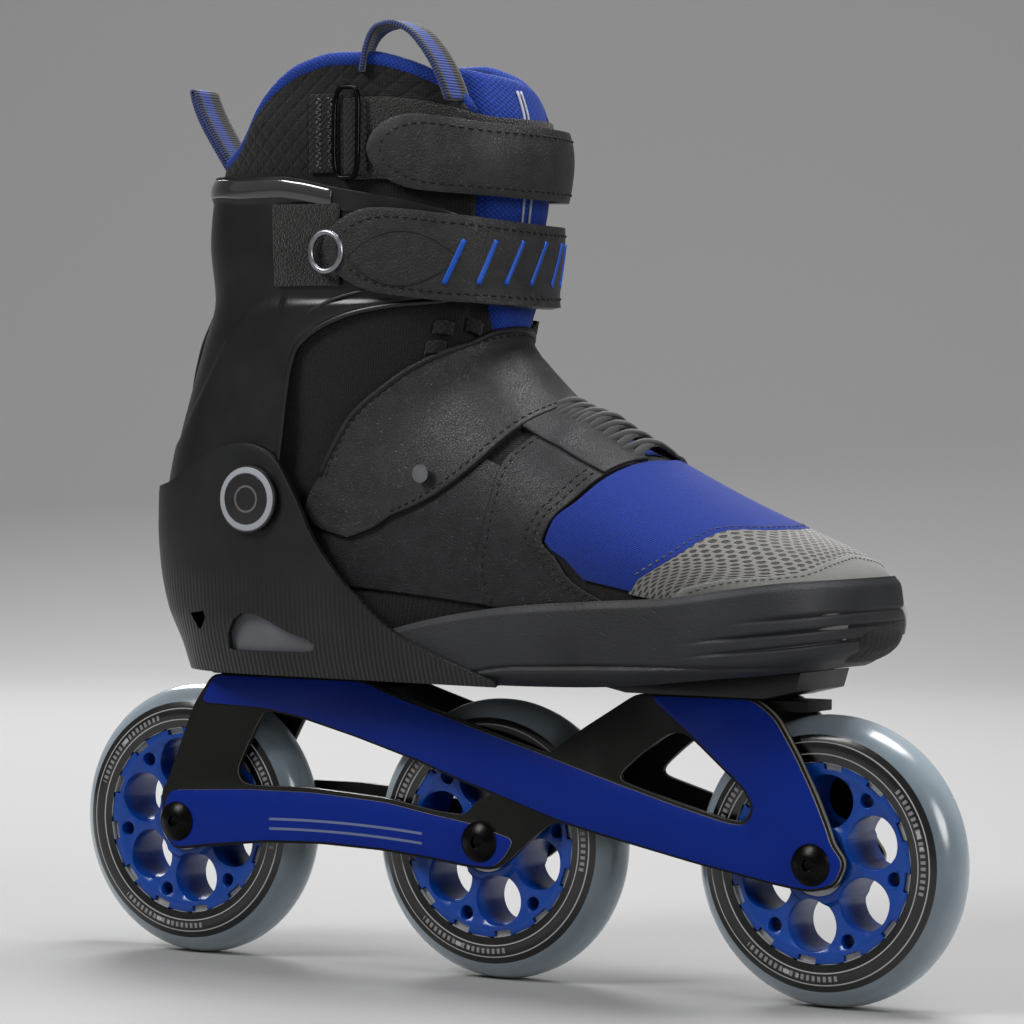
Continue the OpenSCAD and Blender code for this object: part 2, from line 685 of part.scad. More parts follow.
module cuff_back_plate() {
    color(dark_grey) leg_patch(164, 196, 6, 206, 246, 5, 1 + cuff_t + 0.2, 1 + cuff_t + 1.8);
}

module pivot_pins() {
    color(steel) both_sides() translate([pivot_x, 45, pivot_z]) rotate([90, 0, 0])
        cylinder(h = 7.8, r = pivot_r, $fn = 64);
}

module pivot_caps() {
    color(mid_grey) both_sides() translate([pivot_x, 45.1, pivot_z]) rotate([-90, 0, 0])
        rotate_extrude($fn = 96) polygon([[0, 0], [12, 0], [12, 1], [11.2, 1.7], [9, 2], [0, 2]]);
}

// ---------------------------------------------------------------- collar and tongue

function collar_low(f) = let (x = leg(230, f, 0)[0]) 215.2 + 0.426 * (x - leg_mid);
collar_rim = [[31, 303], [46, 315.5], [58, 320.5], [70, 323], [81, 323], [93, 319], [103, 313.5],
    [112, 307], [120, 298], [130, 293], [180, 290]];
function collar_high(f) = lookup(f > 180 ? 360 - f : f, collar_rim);
collar_open = 31;
function collar_grid(off) = [for (j = [0:28]) let (f = mix(collar_open, 360 - collar_open, j / 28))
    [for (i = [0:7]) leg(mix(collar_low(f), collar_high(f), i / 7), f, off)]];

module collar() {
    color(black) sheet(collar_grid(0.6), collar_grid(-5));
}

module collar_piping() {
    color(blue) cord([for (j = [0:24]) let (f = mix(collar_open + 3, 357 - collar_open, j / 24))
        leg(collar_high(f) + 2.6, f, -2.2)], 2.2, [0, 0, 1]);
}

module tongue() {
    color(blue) leg_patch(-26, 26, 8, 250, 320, 7, -6.5, 0.4);
}

module collar_pull_loop() {
    color(blue) webbing([for (t = [-14:16:194]) [-14.5 - 17 * cos(t), -33.4, 324 + 15 * sin(t)]],
        7, 1.6, [0, 1, 0]);
}

module heel_pull_loop() {
    color(black) webbing([[-107.5, 0, 290], [-114, 0, 298], [-119.5, 0, 308], [-123, 0, 317],
        [-121.5, 0, 320.5], [-118, 0, 319.5], [-115.5, 0, 311], [-111.5, 0, 302.5]],
        16, 1.6, [0, 1, 0]);
}

// ---------------------------------------------------------------- straps on the cuff

module collar_strap_base() {
    color(black) leg_patch(-64, 78, 20, 286, 308, 3, 1, 2.6);
}

module collar_strap_tail() {
    color(dark_grey) leg_patch(-60, 70, 20, 280, 304, 3, 3, 5.2);
}

module collar_strap_ring() {
    c = leg(295, 81, 2.9);
    color(black) translate([c[0], c[1] - 0.9, c[2]]) rotate([90, 0, 0]) difference() {
        cube([10, 29, 1.8], center = true);
        cube([5.4, 24.6, 4], center = true);
    }
}

module hook_patch() {
    color(dark_grey) leg_patch(84, 108, 6, 246, 271, 3, 1 + cuff_t + 0.1, 1 + cuff_t + 1.3);
}

module cuff_strap_base() {
    color(dark_grey) leg_patch(-82, 62, 20, 243, 268, 3, 1 + cuff_t + 0.2, 1 + cuff_t + 1.6);
}

module cuff_strap_tail() {
    color(dark_grey) leg_patch(-76, 76, 22, 240, 271, 3, 1 + cuff_t + 2, 1 + cuff_t + 4.2);
}

module cuff_strap_ring() {
    c = leg(258, 82.5, 5.95);
    color(steel) translate(c) rotate([90, 0, 0])
        rotate_extrude($fn = 48) translate([5, 0]) circle(0.8, $fn = 16);
}

// ---------------------------------------------------------------- assembly

frame();
rocker_spacers();
front_mount_block();
rear_mount_pad();
mount_bolts();
mount_inserts();
axle_sleeves();
axle_screws();
bearing_inner_rings();
bearing_spacers();
tyre(rear);  // tyre_rear
hub(rear);  // hub_rear
bearing_outer_rings(rear);  // bearing_outer_rings_rear
bearing_shields(rear);  // bearing_shields_rear
bearing_balls(rear);  // bearing_balls_rear
bearing_cages(rear);  // bearing_cages_rear
tyre(middle);  // tyre_middle
hub(middle);  // hub_middle
bearing_outer_rings(middle);  // bearing_outer_rings_middle
bearing_shields(middle);  // bearing_shields_middle
bearing_balls(middle);  // bearing_balls_middle
bearing_cages(middle);  // bearing_cages_middle
tyre(front);  // tyre_front
hub(front);  // hub_front
bearing_outer_rings(front);  // bearing_outer_rings_front
bearing_shields(front);  // bearing_shields_front
bearing_balls(front);  // bearing_balls_front
bearing_cages(front);  // bearing_cages_front
sole_plate();
footbed();
toe_bumper();
heel_shell();
heel_inserts();
boot_upper();
toe_cap();
vamp();
eyestay();
laces();
instep_strap();
instep_strap_anchor();
instep_strap_rivet();
cuff();
cuff_back_plate();
pivot_pins();
pivot_caps();
collar();
collar_piping();
tongue();
collar_pull_loop();
heel_pull_loop();
collar_strap_base();
collar_strap_tail();
collar_strap_ring();
cuff_strap_base();
cuff_strap_tail();
cuff_strap_ring();
hook_patch();
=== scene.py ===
"""The looks of the inline skate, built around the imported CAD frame.

Lengths in the shape functions are in millimetres in the row's frame (+X toe, +Y inner side, +Z up);
every mesh is stored in metres. Turns f go round the leg or the foot: 0 front (top), 90 outer side,
180 rear (sole), 270 inner side.
"""
import math

import bmesh
import bpy
import numpy as np
from mathutils import Matrix, Vector


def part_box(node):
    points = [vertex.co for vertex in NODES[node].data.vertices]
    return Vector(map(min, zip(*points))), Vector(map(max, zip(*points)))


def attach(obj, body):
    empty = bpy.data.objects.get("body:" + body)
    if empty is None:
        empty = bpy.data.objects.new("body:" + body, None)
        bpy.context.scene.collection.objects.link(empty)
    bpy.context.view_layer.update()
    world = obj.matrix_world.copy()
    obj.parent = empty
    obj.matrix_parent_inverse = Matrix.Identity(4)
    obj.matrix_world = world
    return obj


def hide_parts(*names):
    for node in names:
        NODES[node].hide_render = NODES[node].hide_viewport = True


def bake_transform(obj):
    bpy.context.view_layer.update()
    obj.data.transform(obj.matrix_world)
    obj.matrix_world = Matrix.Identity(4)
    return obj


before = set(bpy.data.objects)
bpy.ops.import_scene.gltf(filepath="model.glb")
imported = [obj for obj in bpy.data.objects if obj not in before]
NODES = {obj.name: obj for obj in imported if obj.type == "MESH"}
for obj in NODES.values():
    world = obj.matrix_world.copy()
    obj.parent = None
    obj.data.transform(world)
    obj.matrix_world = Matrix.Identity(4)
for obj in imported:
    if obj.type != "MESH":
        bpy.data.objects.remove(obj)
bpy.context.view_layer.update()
MM = 0.001
WHEELS = ("rear", "middle", "front")
AXLE_Z = 0.05
SIDES = (("outer", 1), ("inner", -1))


# ------------------------------------------------------------------ curves and surfaces

def curve(table):
    """Smooth monotone curve through (x, y) pairs, as a function of arrays."""
    x, y = (np.array(column, float) for column in zip(*sorted(table)))
    h = np.diff(x)
    d = np.diff(y) / h
    m = np.zeros_like(x)
    m[0], m[-1] = d[0], d[-1]
    for i in range(1, len(x) - 1):
        if d[i - 1] * d[i] > 0:
            a, b = 2 * h[i] + h[i - 1], h[i] + 2 * h[i - 1]
            m[i] = (a + b) / (a / d[i - 1] + b / d[i])

    def at(q):
        q = np.clip(np.asarray(q, float), x[0], x[-1])
        i = np.clip(np.searchsorted(x, q) - 1, 0, len(h) - 1)
        t = (q - x[i]) / h[i]
        return ((1 + 2 * t) * (1 - t) ** 2 * y[i] + t * (1 - t) ** 2 * h[i] * m[i]
                + t * t * (3 - 2 * t) * y[i + 1] + t * t * (t - 1) * h[i] * m[i + 1])
    return at


def step(x, a, b):
    """Smooth step from 0 at a to 1 at b."""
    t = np.clip((np.asarray(x, float) - a) / (b - a), 0, 1)
    return t * t * (3 - 2 * t)


def superpow(c, n):
    """Cosine or sine raised for a rounded box section of power n; 2 is an ellipse."""
    return np.sign(c) * np.abs(c) ** (2 / n)


def arrays(*values):
    """The values as arrays of one shape."""
    return np.broadcast_arrays(*(np.asarray(v, float) for v in values))


def turn_gap(f):
    """Turn away from the front, 0 to 180, the same on both sides."""
    g = np.mod(np.asarray(f, float), 360)
    return np.where(g > 180, 360 - g, g)


LEG_MID = -62.0
LEG_CENTRE = np.array([LEG_MID, 0.0, 255.0])
FOOT_CENTRE = np.array([20.0, 0.0, 140.0])
LEG_POWER = 2.25
FRONT_SQUEEZE = 7.5
leg_rear = curve([[106, -124], [116, -127], [131, -134], [147, -137.4], [160, -138.4],
    [171, -138.2], [180, -136.6], [190, -134], [206, -128.6], [225, -121.6], [243, -115.4],
    [262, -117.4], [281, -115], [292, -111], [306, -107.5], [325, -101]])
leg_front = curve([[106, 12], [240, 14], [262, 16], [281, 18], [292, 19], [306, 17], [325, 10]])
leg_half = curve([[106, 30], [116, 33.5], [131, 36], [147, 37], [190, 37.4], [240, 39.4],
    [281, 41.6], [300, 42], [325, 40.5]])


def leg(z, f, off=0.0):
    """Point on the leg of the boot at height z and turn f, moved out by off."""
    z, f, off = arrays(z, f, off)
    c = superpow(np.cos(np.radians(f)), LEG_POWER)
    s = superpow(np.sin(np.radians(f)), LEG_POWER)
    # The straps draw the front of the leg in above the ankle
    squeeze = FRONT_SQUEEZE * step(z, 226, 246) * step(turn_gap(f), 64, 18)
    a = np.where(c < 0, LEG_MID - leg_rear(z), leg_front(z) - LEG_MID - squeeze) + off
    return np.stack([LEG_MID + a * c, -(leg_half(z) + off) * s, z], -1)


# Rings of the foot from the toe to the ankle: top x and z, bottom x and z, half width, shift
FOOT_RINGS = [[148, 131, 146, 122, 14, 6], [143, 145, 140, 118, 29, 5.5],
    [133, 155, 127, 117.5, 38, 4.5], [115, 163, 105, 116.5, 43.5, 2.5],
    [92, 173, 80, 115, 45.5, 0.5], [64, 187, 52, 113, 44.5, -0.5], [44, 198, 16, 112.2, 41.5, -1],
    [31, 209, -22, 112.2, 39, -1], [23, 218, -65, 112.2, 36.8, 0], [17.5, 224, -106, 114, 35.6, 0],
    [15, 227, -130, 135, 35.4, 0], [14, 230, -136, 155, 35.4, 0], [13.5, 233, -137.5, 170, 35.6, 0]]
ring = [curve([[k, row[i]] for k, row in enumerate(FOOT_RINGS)]) for i in range(6)]
LAST_RING = len(FOOT_RINGS) - 1
FOOT_TOP_POWER, FOOT_BOTTOM_POWER = 2.15, 3.2
# The ridge of the instep lies lower than the rings' tops from ring 6 on
instep_dip = curve([[0, 0], [6, 0], [6.6, 3.6], [7.2, 6.2], [8, 7.4], [9, 7.4], [10, 7.8], [11, 9],
    [12, 10]])


def foot(k, f, off=0.0):
    """Point on the foot of the boot at ring k and turn f, moved out by off."""
    k, f, off = arrays(k, f, off)
    cf, sf = np.cos(np.radians(f)), np.sin(np.radians(f))
    n = np.where(cf > 0, FOOT_TOP_POWER, FOOT_BOTTOM_POWER - 0.95 * np.clip((k - 8) / 3, 0, 1))
    c, s = superpow(cf, n), superpow(sf, n)
    tx, tz, bx, bz, half_width, shift = (r(k) for r in ring)
    half = np.hypot(tx - bx, tz - bz) / 2
    ux, uz = (tx - bx) / (2 * half), (tz - bz) / (2 * half)
    reach = half + off - instep_dip(k) * step(turn_gap(f), 70, 15)
    return np.stack([(tx + bx) / 2 + ux * reach * c, shift - (half_width + off) * s,
                     (tz + bz) / 2 + uz * reach * c], -1)


def boot(k, f, off=0.0):
    """The foot's surface carried on above its last ring into the leg."""
    k, f, off = arrays(k, f, off)
    share = np.clip(k - LAST_RING, 0, 1)[..., None]
    low = foot(np.minimum(k, LAST_RING), f, off)
    return low + (leg(collar_low_z(f), f, off) - low) * share


def collar_low_z(f):
    """Height of the line where the foot's last ring has turned into the leg."""
    return 214 + 0.426 * (leg(225, f)[..., 0] - LEG_MID)


# ------------------------------------------------------------------ mesh helpers

def new_object(name, verts, faces, st=None):
    """Smooth mesh object from points in millimetres; st becomes its UV layer."""
    mesh = bpy.data.meshes.new(name)
    mesh.from_pydata([tuple(v) for v in np.asarray(verts, float) * MM], [], faces)
    if st is not None:
        layer = mesh.uv_layers.new(name="st")
        loops = np.zeros(len(mesh.loops), np.int32)
        mesh.loops.foreach_get("vertex_index", loops)
        layer.data.foreach_set("uv", np.asarray(st, np.float32)[loops].ravel())
    mesh.polygons.foreach_set("use_smooth", [True] * len(mesh.polygons))
    mesh.update()
    obj = bpy.data.objects.new(name, mesh)
    bpy.context.scene.collection.objects.link(obj)
    return obj


def grid_object(name, points, wrap=False, centre=None, caps=False):
    """Quad mesh over a grid of points [row, column]; st holds millimetres along the surface."""
    rows, cols = points.shape[:2]
    along = np.linalg.norm(np.diff(points, axis=1), axis=2).mean(0)
    down = np.linalg.norm(np.diff(points, axis=0), axis=2).mean(1)
    s = np.concatenate([[0], np.cumsum(along)])
    t = np.concatenate([[0], np.cumsum(down)])
    st = np.stack(np.broadcast_arrays(s[None, :], t[:, None]), -1).reshape(-1, 2)
    last = cols if wrap else cols - 1
    if centre is None:
        centre = points.reshape(-1, 3).mean(0)
    n = np.cross(np.gradient(points, axis=0), np.gradient(points, axis=1))
    flip = float((n * (points - centre)).sum()) > 0
    faces = []
    for r in range(rows - 1):
        for c in range(last):
            d = (c + 1) % cols
            quad = (r * cols + c, r * cols + d, (r + 1) * cols + d, (r + 1) * cols + c)
            faces.append(quad if not flip else quad[::-1])
    if caps:
        ends = [tuple(range(cols)), tuple((rows - 1) * cols + c for c in range(cols))]
        faces += [ends[0] if flip else ends[0][::-1], ends[1][::-1] if flip else ends[1]]
    return new_object(name, points.reshape(-1, 3), faces, st)


def bake_modifiers(obj):
    """Replaces the mesh by what its modifiers make of it."""
    graph = bpy.context.evaluated_depsgraph_get()
    mesh = bpy.data.meshes.new_from_object(obj.evaluated_get(graph))
    obj.modifiers.clear()
    obj.data = mesh
    return obj


def thicken(obj, thick, bevel):
    """Gives a sheet its thickness on the inner side, in millimetres, with rounded edges."""
    solid = obj.modifiers.new("thickness", "SOLIDIFY")
    solid.thickness = thick * MM
    solid.offset = -1.0
    solid.use_even_offset = False
    if bevel:
        round_edges(obj, bevel)


def round_edges(obj, width, angle=40):
    """Rounds the edges sharper than angle, width in millimetres."""
    edge = obj.modifiers.new("round edges", "BEVEL")
    edge.width = width * MM
    edge.segments = 2
    edge.limit_method = "ANGLE"
    edge.angle_limit = math.radians(angle)


def tube_object(name, path, radius, sides=10, closed=False, flat=1.0, up=(0, 0, 1)):
    """Tube along a path of points; flat scales it across, and up is a direction it never takes."""
    path = np.asarray(path, float)
    count = len(path)
    if closed:
        heading = np.roll(path, -1, 0) - np.roll(path, 1, 0)
    else:
        heading = np.gradient(path, axis=0)
    heading /= np.linalg.norm(heading, axis=1, keepdims=True)
    u = np.cross(heading, np.asarray(up, float))
    u /= np.linalg.norm(u, axis=1, keepdims=True)
    v = np.cross(heading, u)
    radius = np.broadcast_to(np.asarray(radius, float), (count,))
    a = np.linspace(0, 2 * np.pi, sides, endpoint=False)
    points = (path[:, None] + radius[:, None, None] * (np.cos(a)[None, :, None] * u[:, None]
              + flat * np.sin(a)[None, :, None] * v[:, None]))
    if closed:
        points = np.concatenate([points, points[:1]])
        rows, cols = points.shape[:2]
        faces = [(r * cols + c, r * cols + (c + 1) % cols, ((r + 1) % (rows - 1)) * cols
                  + (c + 1) % cols, ((r + 1) % (rows - 1)) * cols + c)
                 for r in range(rows - 1) for c in range(cols)]
        obj = new_object(name, points[:-1].reshape(-1, 3), faces)
        return recalc(obj)
    return recalc(grid_object(name, points, wrap=True, caps=True))


def band_object(name, path, across, width, thick):
    """Flat webbing along a path: across is the unit direction of its width at each point."""
    path = np.asarray(path, float)
    across = np.broadcast_to(np.asarray(across, float), path.shape)
    heading = np.gradient(path, axis=0)
    normal = np.cross(heading, across)
    normal /= np.linalg.norm(normal, axis=1, keepdims=True)
    width = np.broadcast_to(np.asarray(width, float), (len(path),))[:, None]
    corners = []
    for w in np.linspace(-0.5, 0.5, 9):
        corners.append(path + across * width * w + normal * thick / 2)
    for w in np.linspace(0.5, -0.5, 9):
        corners.append(path + across * width * w - normal * thick / 2)
    return recalc(grid_object(name, np.stack(corners, 1), wrap=True, caps=True))


def recalc(obj):
    """Turns every face of the mesh outwards."""
    work = bmesh.new()
    work.from_mesh(obj.data)
    bmesh.ops.recalc_face_normals(work, faces=work.faces)
    work.to_mesh(obj.data)
    work.free()
    return obj


def merge(name, parts):
    """Joins mesh objects into one object with that name."""
    verts, faces, start = [], [], 0
    for part in parts:
        mesh = part.data
        co = np.zeros(len(mesh.vertices) * 3)
        mesh.vertices.foreach_get("co", co)
        verts.append(co.reshape(-1, 3) / MM)
        faces += [tuple(start + i for i in p.vertices) for p in mesh.polygons]
        start += len(mesh.vertices)
        bpy.data.objects.remove(part)
    return new_object(name, np.concatenate(verts), faces)


def stitch_row(path, normals, pitch=3.2, length=2.1, radius=0.42):
    """Points and faces of a row of thread stitches along a path."""
    path, normals = np.asarray(path, float), np.asarray(normals, float)
    run = np.concatenate([[0], np.cumsum(np.linalg.norm(np.diff(path, axis=0), axis=1))])
    places = np.arange(pitch / 2, run[-1] - pitch / 4, pitch)
    verts, faces = [], []
    for place in places:
        ends = [np.array([np.interp(q, run, path[:, i]) for i in range(3)])
                for q in (place - length / 2, place + length / 2)]
        n = np.array([np.interp(place, run, normals[:, i]) for i in range(3)])
        n /= np.linalg.norm(n)
        axis = ends[1] - ends[0]
        side = np.cross(axis, n)
        side /= np.linalg.norm(side)
        base = len(verts)
        verts.append(ends[0] - n * 0.1)
        for share in (0.25, 0.75):
            centre = ends[0] + axis * share
            verts += [centre + side * radius, centre + n * radius, centre - side * radius,
                      centre - n * radius * 0.5]
        verts.append(ends[1] - n * 0.1)
        for i in range(4):
            j = (i + 1) % 4
            faces += [(base, base + 1 + j, base + 1 + i),
                      (base + 1 + i, base + 1 + j, base + 5 + j, base + 5 + i),
                      (base + 5 + i, base + 5 + j, base + 9)]
    return verts, faces


def stitches(name, rows, body, mat, **size):
    """One piece with a row of stitches for each (path, normals)."""
    verts, faces = [], []
    for path, normals in rows:
        v, f = stitch_row(path, normals, **size)
        faces += [tuple(i + len(verts) for i in face) for face in f]
        verts += v
    obj = recalc(new_object(name, verts, faces))
    return dress(obj, mat, body)


def dress(obj, mat, body, node=None):
    """Gives a piece its material and body; node is the CAD piece it stands for, which is hidden."""
    obj.data.materials.clear()
    obj.data.materials.append(mat)
    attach(obj, body)
    if node:
        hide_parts(node)
    return obj


def sheet(name, rows, thick, bevel, mat, body, node=None, centre=LEG_CENTRE):
    """Sheet over rows of points, thickened towards the centre."""
    obj = grid_object(name, np.stack(rows), centre=centre)
    thicken(obj, thick, bevel)
    return dress(obj, mat, body, node)


# ------------------------------------------------------------------ materials

def rgb(r, g, b):
    """Linear colour from 8-bit display values."""
    return tuple((c / 255 / 12.92) if c / 255 <= 0.04045 else ((c / 255 + 0.055) / 1.055) ** 2.4
                 for c in (r, g, b)) + (1.0,)


class Shader:
    """A principled material with short calls for the nodes used here."""

    def __init__(self, name, rough=0.5, metal=0.0, coat=0.0, sheen=0.0, specular=0.5):
        self.mat = bpy.data.materials.new(name)
        self.mat.use_nodes = True
        self.tree = self.mat.node_tree
        self.bsdf = self.tree.nodes["Principled BSDF"]
        self.bsdf.inputs["Metallic"].default_value = metal
        self.bsdf.inputs["Roughness"].default_value = rough
        self.bsdf.inputs["Coat Weight"].default_value = coat
        self.bsdf.inputs["Coat Roughness"].default_value = 0.15
        self.bsdf.inputs["Sheen Weight"].default_value = sheen
        self.bsdf.inputs["Specular IOR Level"].default_value = specular
        self.coords = self.tree.nodes.new("ShaderNodeTexCoord").outputs["Object"]
        self.height = None

    def link(self, value, socket):
        if isinstance(value, bpy.types.NodeSocket):
            self.tree.links.new(value, socket)
        else:
            socket.default_value = value

    def math(self, kind, a, b=0.0, clamp=False):
        node = self.tree.nodes.new("ShaderNodeMath")
        node.operation = kind
        node.use_clamp = clamp
        for value, socket in zip((a, b), node.inputs):
            self.link(value, socket)
        return node.outputs[0]

    def add(self, a, b, clamp=False):
        return self.math("ADD", a, b, clamp)

    def sub(self, a, b, clamp=False):
        return self.math("SUBTRACT", a, b, clamp)

    def mul(self, a, b):
        return self.math("MULTIPLY", a, b)

    def sine(self, value, rate):
        """Sine of a value times a rate."""
        return self.math("SINE", self.mul(value, rate))

    def distance(self, u, v):
        """Length of the vector with the two components."""
        return self.math("SQRT", self.add(self.math("POWER", u, 2.0), self.math("POWER", v, 2.0)))

    def ramp(self, value, low, high):
        """0 at low to 1 at high, clamped and smooth."""
        node = self.tree.nodes.new("ShaderNodeMapRange")
        node.interpolation_type = "SMOOTHSTEP"
        self.link(value, node.inputs["Value"])
        node.inputs["From Min"].default_value = low
        node.inputs["From Max"].default_value = high
        return node.outputs["Result"]

    def between(self, value, low, high, soft):
        up = self.ramp(value, low - soft, low + soft)
        down = self.ramp(value, high - soft, high + soft)
        return self.sub(up, down, clamp=True)

    def noise(self, scale, detail=3.0, rough=0.5):
        node = self.tree.nodes.new("ShaderNodeTexNoise")
        self.link(self.coords, node.inputs["Vector"])
        node.inputs["Scale"].default_value = scale
        node.inputs["Detail"].default_value = detail
        node.inputs["Roughness"].default_value = rough
        return node.outputs["Fac"]

    def cells(self, scale, feature="F1"):
        node = self.tree.nodes.new("ShaderNodeTexVoronoi")
        node.feature = feature
        self.link(self.coords, node.inputs["Vector"])
        node.inputs["Scale"].default_value = scale
        return node.outputs["Distance"]

    def split(self, vector):
        node = self.tree.nodes.new("ShaderNodeSeparateXYZ")
        self.link(vector, node.inputs[0])
        return node.outputs

    def st(self):
        """Millimetres along the surface of a grid piece."""
        node = self.tree.nodes.new("ShaderNodeUVMap")
        node.uv_map = "st"
        return self.split(node.outputs[0])

    def normal(self):
        return self.split(self.tree.nodes.new("ShaderNodeNewGeometry").outputs["Normal"])

    def mix(self, factor, a, b):
        node = self.tree.nodes.new("ShaderNodeMix")
        node.data_type = "RGBA"
        self.link(factor, node.inputs["Factor"])
        self.link(a, node.inputs["A"])
        self.link(b, node.inputs["B"])
        return node.outputs["Result"]

    def blend(self, factor, a, b):
        """Plain number between a and b."""
        return self.add(self.mul(factor, b - a), a)

    def colour(self, value):
        self.link(value, self.bsdf.inputs["Base Color"])
        return self

    def roughness(self, value):
        self.link(value, self.bsdf.inputs["Roughness"])
        return self

    def add_height(self, value, amount):
        """Adds amount millimetres of bump where value is 1."""
        part = self.mul(value, amount)
        self.height = part if self.height is None else self.add(self.height, part)
        return self

    def done(self):
        if self.height is not None:
            node = self.tree.nodes.new("ShaderNodeBump")
            node.inputs["Distance"].default_value = MM
            self.link(self.height, node.inputs["Height"])
            self.tree.links.new(node.outputs["Normal"], self.bsdf.inputs["Normal"])
        return self.mat


def moulded(name, dark, light, rough, grain=0.05, coat=0.0, specular=0.35):
    """Moulded plastic or rubber: fine spark texture, cloudy roughness and slight colour drift."""
    s = Shader(name, rough=rough, coat=coat, specular=specular)
    cloud = s.noise(28, 4)
    s.colour(s.mix(s.ramp(cloud, 0.3, 0.75), dark, light))
    s.roughness(s.blend(s.noise(90, 5), rough - 0.1, rough + 0.12))
    s.add_height(s.noise(1700, 2), grain)
    s.add_height(s.ramp(s.noise(320, 3), 0.62, 0.75), -grain * 0.6)
    return s


def leather(name, dark, light, rough=0.5, scale=900):
    """Grained leather with soft, larger creases."""
    s = Shader(name, rough=rough, specular=0.32)
    grain = s.cells(scale, "DISTANCE_TO_EDGE")
    crease = s.ramp(grain, 0.0, 0.12)
    s.colour(s.mix(s.ramp(s.noise(180, 5), 0.3, 0.7), dark, light))
    s.roughness(s.blend(s.noise(500, 4), rough - 0.05, rough + 0.08))
    s.add_height(crease, 0.09)
    s.add_height(s.noise(90, 3), 0.12)
    return s.done()


def weave(name, dark, light, pitch=1.4, depth=0.16, rough=0.85, sheen=0.25, diagonal=False):
    """Woven cloth along the piece's own st directions."""
    s = Shader(name, rough=rough, sheen=sheen, specular=0.3)
    u, v = s.st()[0], s.st()[1]
    if diagonal:
        u, v = s.add(u, v), s.sub(u, v)
    wave = [s.sine(q, math.pi / pitch) for q in (u, v)]
    cross = s.mul(wave[0], wave[1])
    over = s.ramp(cross, -0.5, 0.6)
    fleck = s.noise(1300, 3)
    s.colour(s.mix(s.mul(over, s.ramp(fleck, 0.2, 0.75)), dark, light))
    s.add_height(over, depth)
    s.add_height(fleck, 0.08)
    return s.done()


black_moulded = moulded("black_moulded", rgb(9, 9, 9), rgb(19, 19, 19), 0.42).done()
rib_shader = moulded("ribbed_shell", rgb(11, 12, 12), rgb(20, 21, 21), 0.4)
rib_x = rib_shader.split(rib_shader.coords)
ribs = rib_shader.sine(rib_x[0], 3100.0)
low_shell = rib_shader.ramp(rib_x[2], 0.150, 0.135)
rib_shader.add_height(rib_shader.mul(ribs, low_shell), 0.1)
shell_mat = rib_shader.done()
cuff_mat = moulded("cuff_plastic", rgb(8, 8, 8), rgb(16, 16, 16), 0.33, grain=0.03,
                   specular=0.45).done()
# Glossy lip strips of the cuff: their grey, lighter than the cuff, is partly a painted highlight.
gloss_and_highlight_mat = moulded("cuff_gloss_and_highlight", rgb(30, 30, 30), rgb(44, 43, 42), 0.12, grain=0.01, coat=1.0,
                    specular=0.6).done()
rubber_mat = moulded("sole_rubber", rgb(19, 20, 22), rgb(33, 34, 37), 0.55, grain=0.12).done()
grey_plastic = moulded("grey_insert", rgb(78, 79, 84), rgb(104, 105, 110), 0.4).done()
strap_leather = leather("strap_leather", rgb(24, 24, 25), rgb(34, 34, 36), 0.48)
overlay_mat = leather("overlay_leather", rgb(11, 11, 13), rgb(22, 22, 26), 0.5, 1100)
cord_mat = weave("lace_braid", rgb(6, 6, 6), rgb(30, 30, 30), 0.7, 0.25)
thread_mat = moulded("thread", rgb(9, 9, 9), rgb(22, 22, 22), 0.75).done()
grey_thread = moulded("grey_thread", rgb(60, 61, 62), rgb(85, 86, 88), 0.7).done()
white_cord = moulded("white_cord", rgb(130, 135, 150), rgb(165, 168, 180), 0.7).done()
blue_cloth = weave("blue_knit", rgb(0, 30, 96), rgb(0, 58, 160), 0.9, 0.14, sheen=0.05)
vamp_mat = weave("vamp_knit", rgb(0, 27, 98), rgb(0, 46, 140), 0.8, 0.1, sheen=0.03,
                 diagonal=True)
band_mat = weave("black_webbing", rgb(4, 4, 4), rgb(24, 24, 24), 1.2, 0.25, sheen=0.1)
lining_mat = weave("dark_lining", rgb(8, 9, 14), rgb(20, 22, 30), 1.2, 0.1)


def body_cloth():
    """Padded black mesh: diamond quilting on the collar, fine net at the ankle, dull below."""
    s = Shader("boot_mesh", rough=0.82, sheen=0.08, specular=0.25)
    x, y, z = s.split(s.coords)
    round_leg = s.mul(s.math("ARCTAN2", y, s.add(x, 0.062)), 42.0)
    high = s.mul(z, 1000.0)
    u, v = s.add(round_leg, high), s.sub(round_leg, high)
    lines = [s.math("ABSOLUTE", s.sine(q, math.pi / 6.5)) for q in (u, v)]
    quilt = s.ramp(s.math("MINIMUM", lines[0], lines[1]), 0.0, 0.8)
    fine = [s.sine(q, math.pi / 0.8) for q in (u, v)]
    net = s.ramp(s.mul(fine[0], fine[1]), -0.3, 0.5)
    collar = s.ramp(z, 0.284, 0.290)
    fleck = s.ramp(s.noise(1500, 4, rough=0.8), 0.42, 0.72)
    shade = s.mul(s.mul(net, fleck), s.blend(quilt, 0.45, 1.0))
    s.colour(s.mix(shade, rgb(3, 3, 3), rgb(36, 34, 32)))
    s.add_height(net, 0.18)
    s.add_height(s.mul(quilt, collar), 0.55)
    s.add_height(fleck, 0.12)
    return s.done()


def suede():
    """Napped grey suede."""
    s = Shader("grey_suede", rough=0.9, sheen=0.4, specular=0.25)
    nap = s.noise(1800, 5, rough=0.7)
    share = s.add(s.mul(nap, 0.6), s.mul(s.noise(45, 4), 0.4))
    s.colour(s.mix(share, rgb(68, 69, 66), rgb(112, 113, 109)))
    s.add_height(nap, 0.15)
    return s.done()


